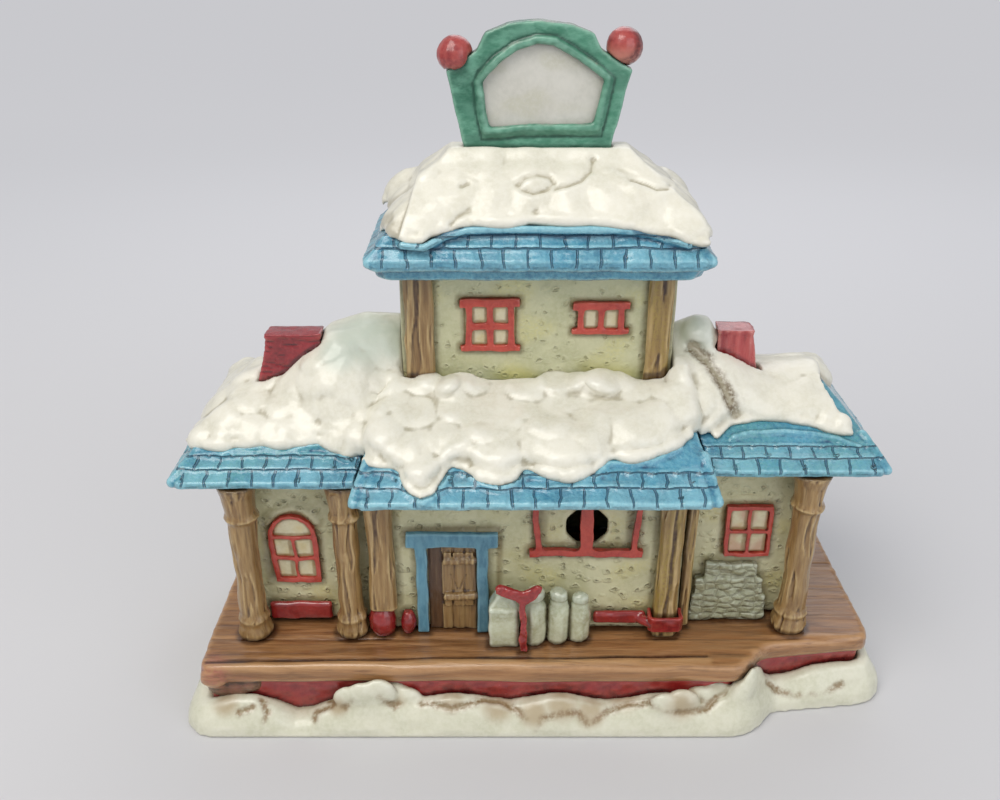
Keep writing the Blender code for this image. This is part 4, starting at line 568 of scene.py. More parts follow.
@dataclass(frozen=True)
class Glaze:
    """One hand-painted, glazed finish."""

    name: str
    dark: Colour
    mid: Colour
    light: Colour
    # Colour of the painted shade in hollows and where pieces meet, brown like a wash on some finishes; also
    # the colour of joints, grain and dents.
    shade_and_wash: Colour = (88, 62, 38)
    # Colour of the painted highlight on crests; also the pale end of the shingles' random tone.
    crest_highlight: Colour = (235, 230, 215)
    stain: Colour = (120, 105, 80)
    tint: Colour = (190, 198, 184)
    wash_share: float = 1.0
    crest_share: float = 0.5
    streaks: float = 0.5
    stretch: tuple[float, float, float] = (1.0, 1.0, 1.0)
    relief: Relief = Relief.SOFT
    relief_depth: float = 0.3
    gloss: float = 0.3
    coat: float = 0.55

    def material(self) -> bpy.types.Material:
        """Builds the finish's material once.

        Returns:
            The material.
        """
        found = bpy.data.materials.get(self.name)
        if found:
            return found
        made = bpy.data.materials.new(self.name)
        made.use_nodes = True
        tree = NodeTree(made.node_tree)
        shader = made.node_tree.nodes["Principled BSDF"]
        place = tree.add("TexCoord").outputs["Object"]
        even = tree.scaled(place, (1000.0, 1000.0, 1000.0))
        drawn = tree.scaled(place, tuple(1000.0 / s for s in self.stretch))
        paint = tree.add("Group", node_tree=Groups.brushwork())
        tree.feed(paint.inputs["Vector"], drawn)
        for label, colour in (("Dark", self.dark), ("Mid", self.mid), ("Light", self.light)):
            paint.inputs[label].default_value = linear(colour)
        paint.inputs["Streaks"].default_value = self.streaks
        stain = tree.add("Group", node_tree=Groups.stain())
        tree.feed(stain.inputs["Vector"], even)
        tree.feed(stain.inputs["Colour"], paint.outputs["Colour"])
        stain.inputs["Stain"].default_value = linear(self.stain)
        stain.inputs["Tint"].default_value = linear(self.tint)
        rubbed = tree.add("Group", node_tree=Groups.painted_shade_and_highlight())
        tree.feed(rubbed.inputs["Vector"], even)
        tree.feed(rubbed.inputs["Colour"], stain.outputs["Colour"])
        rubbed.inputs["Shade And Wash"].default_value = linear(self.shade_and_wash)
        rubbed.inputs["Crest Highlight"].default_value = linear(self.crest_highlight)
        rubbed.inputs["Wash Share"].default_value = self.wash_share
        rubbed.inputs["Crest Share"].default_value = self.crest_share
        skin = tree.add("Group", node_tree=Groups.glaze_skin())
        tree.feed(skin.inputs["Vector"], even)
        skin.inputs["Gloss"].default_value = self.gloss
        colour, height = self._relief(tree, even, drawn, rubbed.outputs["Colour"])
        glazed = tree.add("Bump")
        glazed.inputs["Strength"].default_value = 0.35
        glazed.inputs["Distance"].default_value = 0.25 * MM
        tree.feed(glazed.inputs["Height"], skin.outputs["Height"])
        if height is not None:
            worked = tree.add("Bump")
            worked.inputs["Strength"].default_value = 1.0
            worked.inputs["Distance"].default_value = self.relief_depth * MM
            tree.feed(worked.inputs["Height"], height)
            tree.feed(glazed.inputs["Normal"], worked.outputs["Normal"])
        tree.feed(shader.inputs["Base Color"], colour)
        tree.feed(shader.inputs["Roughness"], skin.outputs["Roughness"])
        tree.feed(shader.inputs["Normal"], glazed.outputs["Normal"])
        shader.inputs["Coat Weight"].default_value = self.coat
        shader.inputs["Coat Roughness"].default_value = 0.12
        shader.inputs["Coat IOR"].default_value = 1.5
        return made

    def _relief(
        self, tree: NodeTree, even: object, drawn: object, colour: object
    ) -> tuple[object, object | None]:
        """Adds the finish's fine relief.

        Args:
            tree: The material's tree.
            even: Coordinates in millimetres.
            drawn: Coordinates stretched along the brush.
            colour: The colour so far.

        Returns:
            The colour with the relief's shade, and the relief's height or None.
        """
        if self.relief is Relief.DABS:
            return self._dabs(tree, even, colour)
        if self.relief is Relief.SHINGLES:
            return self._shingled(tree, even, colour)
        if self.relief is Relief.STONES:
            return self._stones(tree, even, colour)
        if self.relief is Relief.GRAIN:
            lines = tree.noise(drawn, 1.1, 5.0, 0.6)
            lines.inputs["Distortion"].default_value = 0.5
            groove = tree.ramp(lines.outputs["Fac"], 0.5, 0.32)
            shade = tree.maths("MULTIPLY", groove, 0.34)
            return tree.mix(shade, colour, linear(self.shade_and_wash)), lines.outputs["Fac"]
        if self.relief is Relief.BRUSHED:
            return colour, tree.noise(drawn, 1.0, 4.0).outputs["Fac"]
        return colour, None

    def _shingled(self, tree: NodeTree, even: object, colour: object) -> tuple[object, object]:
        """Shingles: dark joints, and each shingle a little lighter or darker.

        Args:
            tree: The material's tree.
            even: Coordinates in millimetres.
            colour: The colour so far.

        Returns:
            The colour with the joints, and the height.
        """
        joints = tree.add("Group", node_tree=Groups.shingle_joints())
        tree.feed(joints.inputs["Vector"], even)
        paler = tree.mix(tree.maths("MULTIPLY", joints.outputs["Tone"], 0.4), colour, linear(self.crest_highlight))
        shade = tree.maths("MULTIPLY", joints.outputs["Joint"], 0.74)
        brush = tree.noise(even, 0.9, 4.0)
        height = tree.maths("MULTIPLY_ADD", joints.outputs["Swell"], 0.9, brush.outputs["Fac"])
        height = tree.maths("MULTIPLY_ADD", joints.outputs["Joint"], -2.2, height)
        return tree.mix(shade, paler, linear(self.shade_and_wash)), height

    def _stones(self, tree: NodeTree, even: object, colour: object) -> tuple[object, object]:
        """Rounded stones with dark joints.

        Args:
            tree: The material's tree.
            even: Coordinates in millimetres.
            colour: The colour so far.

        Returns:
            The colour with the joints, and the height.
        """
        squeezed = tree.scaled(even, (0.25, 0.2, 0.44))
        stones = tree.add("TexVoronoi", feature="DISTANCE_TO_EDGE")
        stones.inputs["Scale"].default_value = 1.0
        stones.inputs["Randomness"].default_value = 0.7
        tree.feed(stones.inputs["Vector"], squeezed)
        joint = tree.ramp(stones.outputs["Distance"], 0.09, 0.02)
        height = tree.ramp(stones.outputs["Distance"], 0.0, 0.3)
        return tree.mix(tree.maths("MULTIPLY", joint, 0.42), colour, linear(self.shade_and_wash)), height

    def _dabs(self, tree: NodeTree, even: object, colour: object) -> tuple[object, object]:
        """Plaster pressed with the end of a tool: short dents with a raised lip.

        Args:
            tree: The material's tree.
            even: Coordinates in millimetres.
            colour: The colour so far.

        Returns:
            The colour with dark dents, and the height.
        """
        wander = tree.noise(even, 0.4)
        moved = tree.add("VectorMath", operation="MULTIPLY_ADD")
        tree.feed(moved.inputs[0], wander.outputs["Color"])
        moved.inputs[1].default_value = (2.4, 2.4, 2.4)
        tree.feed(moved.inputs[2], even)
        squeezed = tree.scaled(moved.outputs[0], (0.28, 0.28, 0.36))
        cells = tree.add("TexVoronoi", feature="F1", distance="EUCLIDEAN")
        cells.inputs["Scale"].default_value = 1.0
        cells.inputs["Randomness"].default_value = 0.85
        tree.feed(cells.inputs["Vector"], squeezed)
        dent = tree.ramp(cells.outputs["Distance"], 0.26, 0.1)
        lip = tree.ramp(cells.outputs["Distance"], 0.5, 0.22)
        some = tree.ramp(wander.outputs["Fac"], 0.34, 0.5)
        dent = tree.maths("MULTIPLY", dent, some)
        height = tree.maths("SUBTRACT", tree.maths("MULTIPLY", lip, 0.5), dent)
        shade = tree.maths("MULTIPLY", dent, 0.36)
        return tree.mix(shade, colour, linear(self.shade_and_wash)), height


SNOW = Glaze(
    "snow_glaze", dark=(218, 214, 196), mid=(229, 225, 209), light=(237, 234, 222),
    # Its tint is the greenish grey painted shade on the heaps beside the tower.
    shade_and_wash=(164, 156, 132), crest_highlight=(240, 238, 228), stain=(104, 86, 60), tint=(190, 198, 184),
    wash_share=0.78, crest_share=0.3, streaks=0.4, gloss=0.33, coat=0.45,
)
SNOW_BASE = Glaze(
    "snow_base_glaze", dark=(204, 203, 178), mid=(216, 214, 192), light=(226, 224, 206),
    shade_and_wash=(140, 122, 88), crest_highlight=(232, 230, 214), stain=(138, 112, 78), tint=(172, 152, 118),
    wash_share=0.7, crest_share=0.3, streaks=0.45, gloss=0.32, coat=0.45,
)
SHINGLE = Glaze(
    "shingle_glaze", dark=(44, 112, 146), mid=(70, 142, 174), light=(118, 182, 200),
    shade_and_wash=(28, 80, 112), crest_highlight=(148, 202, 214), stain=(84, 156, 156),
    crest_share=0.75, streaks=0.5, relief=Relief.SHINGLES, relief_depth=0.42, gloss=0.2, coat=0.75,
)
PLASTER = Glaze(
    "plaster_glaze", dark=(188, 184, 142), mid=(202, 198, 158), light=(214, 210, 174),
    # Its tint is olive paint on the door's hood and painted shadow along the arched window's ledge.
    shade_and_wash=(104, 90, 48), crest_highlight=(216, 212, 178), stain=(206, 194, 118), tint=(112, 92, 46),
    wash_share=0.7, streaks=0.4, relief=Relief.DABS, relief_depth=0.55, gloss=0.28, coat=0.5,
)
TOWER_PLASTER = Glaze(
    "tower_plaster_glaze", dark=(184, 184, 144), mid=(198, 197, 158), light=(210, 208, 174),
    shade_and_wash=(112, 100, 56), crest_highlight=(222, 220, 188), stain=(212, 204, 130), tint=(198, 190, 92),
    wash_share=0.8, streaks=0.4, relief=Relief.DABS, relief_depth=0.3, gloss=0.28, coat=0.5,
)
TIMBER = Glaze(
    "timber_glaze", dark=(122, 90, 50), mid=(148, 114, 66), light=(180, 150, 100),
    # Its tint is the door's dark brown and the painted shadow on its reveal.
    shade_and_wash=(64, 38, 18), crest_highlight=(200, 172, 122), stain=(158, 134, 60), tint=(70, 40, 22),
    crest_share=0.8, streaks=0.55, stretch=(1.0, 1.0, 13.0), relief=Relief.GRAIN, relief_depth=0.4,
    gloss=0.27, coat=0.6,
)
DECK_TIMBER = Glaze(
    "deck_glaze", dark=(122, 80, 44), mid=(148, 102, 60), light=(178, 132, 86),
    shade_and_wash=(64, 36, 18), crest_highlight=(198, 154, 108), stain=(164, 98, 80), tint=(186, 146, 100),
    streaks=0.6, stretch=(15.0, 1.3, 1.3), relief=Relief.GRAIN, relief_depth=0.35, gloss=0.24, coat=0.65,
)
RED = Glaze(
    "red_glaze", dark=(116, 20, 24), mid=(144, 32, 32), light=(170, 48, 44),
    shade_and_wash=(58, 10, 12), crest_highlight=(196, 80, 70), streaks=0.4, gloss=0.16, coat=0.8,
)
WINDOW_RED = Glaze(
    "window_red_glaze", dark=(160, 44, 34), mid=(184, 60, 46), light=(202, 84, 64),
    shade_and_wash=(98, 24, 20), crest_highlight=(216, 112, 90), streaks=0.45, gloss=0.24, coat=0.6,
)
BRICK = Glaze(
    "brick_glaze", dark=(112, 18, 26), mid=(140, 28, 36), light=(168, 50, 54),
    shade_and_wash=(66, 12, 18), crest_highlight=(188, 80, 80), streaks=0.5, gloss=0.2, coat=0.75,
)
PALE_BRICK = Glaze(
    "pale_brick_glaze", dark=(138, 34, 40), mid=(170, 52, 54), light=(202, 98, 92),
    shade_and_wash=(110, 26, 32), crest_highlight=(228, 158, 148), streaks=0.6, stretch=(1.0, 1.0, 9.0), gloss=0.18, coat=0.8,
)
SIGN_GREEN = Glaze(
    "sign_green_glaze", dark=(40, 98, 76), mid=(64, 128, 102), light=(112, 168, 144),
    shade_and_wash=(22, 74, 56), crest_highlight=(142, 192, 168), stain=(158, 150, 142), tint=(38, 98, 76), streaks=0.7,
    stretch=(3.4, 1.0, 1.6), relief=Relief.BRUSHED, relief_depth=0.16, gloss=0.32, coat=0.4,
)
SIGN_PALE = Glaze(
    "sign_pale_glaze", dark=(196, 194, 184), mid=(206, 204, 195), light=(216, 213, 204),
    shade_and_wash=(160, 160, 138), crest_highlight=(220, 218, 210), stain=(188, 186, 164), streaks=0.35, gloss=0.38, coat=0.3,
)
TRIM = Glaze(
    "trim_glaze", dark=(62, 112, 134), mid=(82, 136, 158), light=(110, 162, 178),
    shade_and_wash=(40, 62, 60), crest_highlight=(136, 180, 190), tint=(96, 84, 50), streaks=0.5, stretch=(1.0, 1.0, 3.0),
    gloss=0.27, coat=0.55,
)
CAN = Glaze(
    "can_glaze", dark=(160, 160, 126), mid=(186, 188, 156), light=(208, 212, 188),
    shade_and_wash=(94, 80, 48), crest_highlight=(222, 228, 212), stain=(168, 180, 160), streaks=0.5, gloss=0.16, coat=0.8,
)
STACK = Glaze(
    "stack_glaze", dark=(136, 136, 104), mid=(158, 160, 128), light=(188, 192, 166),
    shade_and_wash=(82, 76, 48), crest_highlight=(208, 214, 194), streaks=0.5, relief=Relief.STONES, relief_depth=0.5,
    gloss=0.16, coat=0.8,
)
PANE = Glaze(
    "pane_glaze", dark=(200, 192, 152), mid=(212, 204, 168), light=(224, 218, 190),
    shade_and_wash=(140, 112, 66), crest_highlight=(228, 224, 202), stain=(210, 190, 120), tint=(190, 148, 122), streaks=0.5,
    gloss=0.22, coat=0.6,
)
KNOB_RED = Glaze(
    "knob_glaze", dark=(132, 40, 42), mid=(160, 54, 52), light=(186, 84, 76),
    shade_and_wash=(84, 24, 26), crest_highlight=(202, 122, 110), tint=(206, 136, 116), stain=(92, 26, 28), streaks=0.55,
    gloss=0.26, coat=0.6,
)


class Clay:
    """One piece worked in soft clay. Its points are in millimetres while it is worked."""

    # Rounds of smoothing that tell fine hollows and crests, and broad ones.
    fine_rounds = 4
    broad_rounds = 24

    def __init__(self, name: str) -> None:
        """Starts with an empty lump.

        Args:
            name: Name of the piece.
        """
        self.name = name
        self.stands_for: tuple[str, ...] = ()
        self.marks: dict[str, np.ndarray] = {}
        self.raw = bmesh.new()

    def take(self, *nodes: str) -> "Clay":
        """Starts from the frame's own solids.

        Args:
            nodes: Nodes that the piece will stand for.

        Returns:
            The piece.
        """
        for node in nodes:
            self.raw.from_mesh(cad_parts[node].data)
        bmesh.ops.remove_doubles(self.raw, verts=self.raw.verts, dist=0.005 * MM)
        self.stands_for += nodes
        return self

    def ball(self, centre: Vector, radii: Spot, up: Vector = Vector((0, 0, 1)), detail: int = 3) -> "Clay":
        """Presses on a ball, flattened along one direction.

        Args:
            centre: Its middle.
            radii: Its radii across, along and in the up direction.
            up: The direction of the third radius.
            detail: How finely it is divided.

        Returns:
            The piece.
        """
        turn = up.to_track_quat("Z", "Y").to_matrix().to_4x4()
        size = Matrix.Diagonal((*(value * MM for value in radii), 1.0))
        matrix = Matrix.Translation(Vector(centre) * MM) @ turn @ size
        bmesh.ops.create_icosphere(self.raw, subdivisions=detail, radius=1.0, matrix=matrix)
        return self

    def roll(self, start: Vector, end: Vector, first: float, last: float) -> "Clay":
        """Presses on a sausage of clay.

        Args:
            start: Where it starts.
            end: Where it ends.
            first: Radius at the start.
            last: Radius at the end.

        Returns:
            The piece.
        """
        start, end = Vector(start), Vector(end)
        count = max(2, math.ceil((end - start).length / (0.45 * min(first, last))))
        for i in range(count + 1):
            share = i / count
            radius = first + (last - first) * share
            self.ball(start.lerp(end, share), (radius, radius, radius), detail=2)
        return self

    def pad(self, low: Spot, high: Spot, bevel: float) -> "Clay":
        """Presses on a block with rounded edges.

        Args:
            low: Its lowest corner.
            high: Its highest corner.
            bevel: How far its edges are rounded.

        Returns:
            The piece.
        """
        middle = (Vector(low) + Vector(high)) / 2 * MM
        size = Matrix.Diagonal((*((Vector(high) - Vector(low)) * MM), 1.0))
        made = bmesh.ops.create_cube(self.raw, size=1.0, matrix=Matrix.Translation(middle) @ size)
        edges = list({edge for vertex in made["verts"] for edge in vertex.link_edges})
        bmesh.ops.bevel(
            self.raw, geom=edges, offset=bevel * MM, segments=2, profile=0.5, affect="EDGES", material=-1
        )
        return self

    def fuse(self, voxel: float) -> "Clay":
        """Makes one even skin over everything pressed together.

        Args:
            voxel: Size of the skin's faces.

        Returns:
            The piece.
        """
        mesh = bpy.data.meshes.new(f"{self.name}_raw")
        self.raw.to_mesh(mesh)
        self.raw.free()
        lump = bpy.data.objects.new(f"{self.name}_raw", mesh)
        bpy.context.scene.collection.objects.link(lump)
        press = lump.modifiers.new("press", "REMESH")
        press.mode = "VOXEL"
        press.voxel_size = voxel * MM
        graph = bpy.context.evaluated_depsgraph_get()
        self.mesh = bpy.data.meshes.new_from_object(lump.evaluated_get(graph))
        self.mesh.name = self.name
        bpy.data.objects.remove(lump)
        bpy.data.meshes.remove(mesh)
        self._read()
        return self

    def _read(self) -> None:
        """Reads the skin's points, edges and directions."""
        count = len(self.mesh.vertices)
        self.points = np.empty(count * 3, np.float32)
        self.mesh.vertices.foreach_get("co", self.points)
        self.points = self.points.reshape(-1, 3).astype(np.float64) / MM
        edges = np.empty(len(self.mesh.edges) * 2, np.int32)
        self.mesh.edges.foreach_get("vertices", edges)
        self.first, self.second = edges.reshape(-1, 2).T
        self.degree = np.bincount(self.first, minlength=count) + np.bincount(self.second, minlength=count)
        self.settle()

    def settle(self) -> None:
        """Writes the points back and reads the directions again."""
        self.mesh.vertices.foreach_set("co", (self.points * MM).astype(np.float32).ravel())
        self.mesh.update()
        ways = np.empty(len(self.points) * 3, np.float32)
        self.mesh.vertex_normals.foreach_get("vector", ways)
        self.normals = ways.reshape(-1, 3).astype(np.float64)

    def _mean(self, values: np.ndarray) -> np.ndarray:
        """Mean of each point's neighbours.

        Args:
            values: One row for each point.

        Returns:
            The means, in the same rows.
        """
        count = len(self.points)
        total = np.empty_like(values)
        for i in range(values.shape[1]):
            total[:, i] = np.bincount(self.first, values[self.second, i], count)
            total[:, i] += np.bincount(self.second, values[self.first, i], count)
        return total / self.degree[:, None]

    def soften(self, rounds: int) -> "Clay":
        """Smooths the skin with a wet finger, and gives back what that shrinks.

        Args:
            rounds: How many times.

        Returns:
            The piece.
        """
        for _ in range(rounds):
            for share in (0.6, -0.45):
                self.points += (self._mean(self.points) - self.points) * share
        for _ in range(2):
            self.points += (self._mean(self.points) - self.points) * 0.5
        self.settle()
        return self

    def work(self, height: Field) -> "Clay":
        """Raises or sinks the skin along its own direction.

        Args:
            height: Gives the height at each point, in millimetres.

        Returns:
            The piece.
        """
        self.points += self.normals * height(self.points, self.normals)[:, None]
        self.settle()
        return self

    def swell(self, height: Field) -> "Clay":
        """Moves the skin out or in across the plan alone, so that a foot stays flat.

        Args:
            height: Gives the move at each point, in millimetres.

        Returns:
            The piece.
        """
        self.points[:, :2] += self.normals[:, :2] * height(self.points, self.normals)[:, None]
        self.settle()
        return self

    def press_top(self, depth: float) -> "Clay":
        """Presses the top down with a flat hand.

        Args:
            depth: How far, in millimetres.

        Returns:
            The piece.
        """
        top = self.points[:, 2].max() - depth
        over = np.maximum(self.points[:, 2] - top, 0)
        self.points[:, 2] -= over * 0.9
        self.settle()
        return self

    def narrow(self, share: float) -> "Clay":
        """Makes the piece narrower across, about its own middle.

        Args:
            share: Its new width as a share of the old.

        Returns:
            The piece.
        """
        middle = (self.points[:, 0].min() + self.points[:, 0].max()) / 2
        self.points[:, 0] = middle + (self.points[:, 0] - middle) * share
        self.settle()
        return self

    def groove(
        self, lines: Iterable[Sequence[Vector]], depth: float, width: float, ink: float = 0.0
    ) -> "Clay":
        """Draws lines into the skin with a blunt tool, or raises them where the depth is negative.

        Args:
            lines: The lines' corners.
            depth: How deep they are, in millimetres.
            width: How far their sides reach.
            ink: How strongly they hold the painted shade and wash.

        Returns:
            The piece.
        """
        share = np.zeros(len(self.points))
        for line in lines:
            share = np.maximum(share, np.exp(-((apart_from(self.points, line) / width) ** 2)))
        self.points -= self.normals * (share * depth)[:, None]
        self.marks["ink"] = np.maximum(self.marks.get("ink", np.zeros(len(share))), share * ink)
        self.settle()
        return self

    def wobble(self, amount: float, size: float) -> "Clay":
        """Moves the skin sideways, so that nothing stays drawn with a ruler.

        Args:
            amount: How far, in millimetres.
            size: Size of one wave, in millimetres.

        Returns:
            The piece.
        """
        scale = (size, size, size)
        seed = float(sum(map(ord, self.name)) % 97)
        moves = [noise_at(self.points, scale, seed + 13.7 * axis) for axis in range(3)]
        self.points += np.stack(moves, axis=1) * amount
        self.settle()
        return self

    def _contact(self, reach: float) -> np.ndarray:
        """How near each point lies to the frame's other nodes.

        Args:
            reach: Distance at which nearness ends, in millimetres.

        Returns:
            1 at contact and 0 from reach on.
        """
        low, high = self.points.min(0) - reach, self.points.max(0) + reach
        others = []
        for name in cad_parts:
            if name in self.stands_for:
                continue
            a, b = box_mm(name)
            if all(a[i] <= high[i] and b[i] >= low[i] for i in range(3)):
                others.append(name)
        if not others:
            return np.zeros(len(self.points))
        tree = Frame.tree(others)
        found = np.full(len(self.points), reach)
        for i, point in enumerate(self.points.tolist()):
            distance = tree.find_nearest(point, reach)[3]
            if distance is not None:
                found[i] = distance
        return 1 - rise(found, 0.35 * reach, reach)

    def finish(
        self, glaze: Glaze, slot: Slot, stain: Field | None = None, tint: Field | None = None,
        seat: float = 1.6, hollow: float = 1.0, body: str = HOUSE,
    ) -> bpy.types.Object:
        """Marks the painted shade and wash in hollows and where pieces meet and the painted highlight on
        crests, glazes the piece and seats it.

        Args:
            glaze: Its finish.
            slot: The record's slot that the finish comes from; not used.
            stain: Gives the share of a second, speckled paint at each point.
            tint: Gives the share of a third, smooth paint at each point; on some pieces it is painted shade.
            seat: How far the painted shade and wash reach from where the piece meets another.
            hollow: How strongly hollows hold the painted shade and wash.
            body: The frame body that it rides on.

        Returns:
            The finished object.
        """
        near, wide = self.points.copy(), None
        for done in range(1, self.broad_rounds + 1):
            near = self._mean(near)
            if done == self.fine_rounds:
                wide = near.copy()
        fine = np.einsum("ij,ij->i", wide - self.points, self.normals)
        broad = np.einsum("ij,ij->i", near - self.points, self.normals)
        # Painted shade, brown like a wash on some finishes, in hollows, grooves and where the piece meets
        # another; painted highlight on crests.
        shade_and_wash = rise(fine, 0.03, 0.16) * 0.8 + rise(broad, 0.12, 0.7) * 0.6
        shade_and_wash = shade_and_wash * hollow + self._contact(seat) * 0.75
        shade_and_wash = shade_and_wash + self.marks.pop("ink", np.zeros(len(shade_and_wash)))
        crest_highlight = rise(-fine, 0.03, 0.15) * 0.8 + rise(-broad, 0.15, 0.7) * 0.3
        marks = {"shade_and_wash": np.clip(shade_and_wash, 0, 1), "crest_highlight": np.clip(crest_highlight, 0, 1)}
        marks["stain"] = stain(self.points, self.normals) if stain else np.zeros(len(self.points))
        marks["tint"] = tint(self.points, self.normals) if tint else np.zeros(len(self.points))
        marks.update(self.marks)
        for name, values in marks.items():
            layer = self.mesh.attributes.new(name, "FLOAT", "POINT")
            layer.data.foreach_set("value", values.astype(np.float32))
        self.mesh.shade_smooth()
        self.mesh.materials.clear()
        self.mesh.materials.append(glaze.material())
        piece = bpy.data.objects.new(f"{self.name}_clay", self.mesh)
        bpy.context.scene.collection.objects.link(piece)
        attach(piece, body)
        if self.stands_for:
            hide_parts(*self.stands_for)
        LOG.info("%s: %d faces", piece.name, len(self.mesh.polygons))
        return piece


# Studio

@dataclass
class Studio:
    """A plain pale floor and soft light."""

    floor_size: float = 16.0
    near_colour: Colour = (208, 207, 209)
    far_colour: Colour = (240, 240, 243)
    backdrop: Colour = (204, 204, 208)

    def build(self) -> None:
        """Makes the camera, the floor, the lamps and the world."""
        VIEW.build()
        self._floor()
        self._lamp("key_light", (-0.32, -0.42, 0.86), 0.62, 5.6, (255, 252, 246))
        self._lamp("fill_light", (0.6, -0.7, 0.42), 0.8, 2.5, (246, 249, 255))
        self._lamp("back_light", (0.15, 0.7, 0.7), 0.7, 1.6, (250, 250, 255))
        world = bpy.data.worlds.new("studio_world")
        world.use_nodes = True
        background = world.node_tree.nodes["Background"]
        background.inputs["Color"].default_value = linear((240, 242, 246))
        background.inputs["Strength"].default_value = 0.5
        bpy.context.scene.world = world
        bpy.context.scene.view_settings.view_transform = "Standard"

    def _floor(self) -> None:
        """The floor, a little darker far behind the house."""
        bm = bmesh.new()
        bmesh.ops.create_grid(bm, x_segments=8, y_segments=8, size=self.floor_size / 2)
        bmesh.ops.translate(bm, vec=(0, 0, -0.0001), verts=bm.verts)
        mesh = bpy.data.meshes.new("floor")
        bm.to_mesh(mesh)
        bm.free()
        floor = bpy.data.objects.new("floor", mesh)
        bpy.context.scene.collection.objects.link(floor)
        made = bpy.data.materials.new("floor_cloth")
        made.use_nodes = True
        tree = NodeTree(made.node_tree)
        shader = made.node_tree.nodes["Principled BSDF"]
        apart = tree.add("SeparateXYZ")
        tree.feed(apart.inputs[0], tree.add("TexCoord").outputs["Object"])
        share = tree.ramp(apart.outputs["Y"], -0.1, 0.7)
        cloth = tree.mix(share, linear(self.near_colour), linear(self.far_colour))
        tree.feed(shader.inputs["Base Color"], cloth)
        shader.inputs["Roughness"].default_value = 0.9
        pale = tree.add("Emission")
        pale.inputs["Color"].default_value = linear(self.backdrop)
        blend = tree.add("MixShader")
        seen = tree.add("LightPath").outputs["Is Camera Ray"]
        far = tree.maths("MULTIPLY", tree.ramp(apart.outputs["Y"], 0.05, 1.0), seen)
        tree.feed(blend.inputs[0], tree.maths("MULTIPLY", far, 0.9))
        tree.feed(blend.inputs[1], shader.outputs[0])
        tree.feed(blend.inputs[2], pale.outputs[0])
        tree.feed(made.node_tree.nodes["Material Output"].inputs["Surface"], blend.outputs[0])
        mesh.materials.append(made)

    @staticmethod
    def _lamp(name: str, place: Spot, size: float, power: float, colour: Colour) -> None:
        """One soft square lamp that faces the house.

        Args:
            name: Its name.
            place: Where it is, in metres.
            size: Its side, in metres.
            power: Its power in watts.
            colour: Its colour.
        """
        data = bpy.data.lights.new(name, "AREA")
        data.shape = "SQUARE"
        data.size = size
        data.energy = power
        data.color = linear(colour)[:3]
        lamp = bpy.data.objects.new(name, data)
        lamp.location = place
        aim = Vector((0, 0, 0.08)) - Vector(place)
        lamp.rotation_euler = aim.to_track_quat("-Z", "Y").to_euler()
        bpy.context.scene.collection.objects.link(lamp)


# Snow

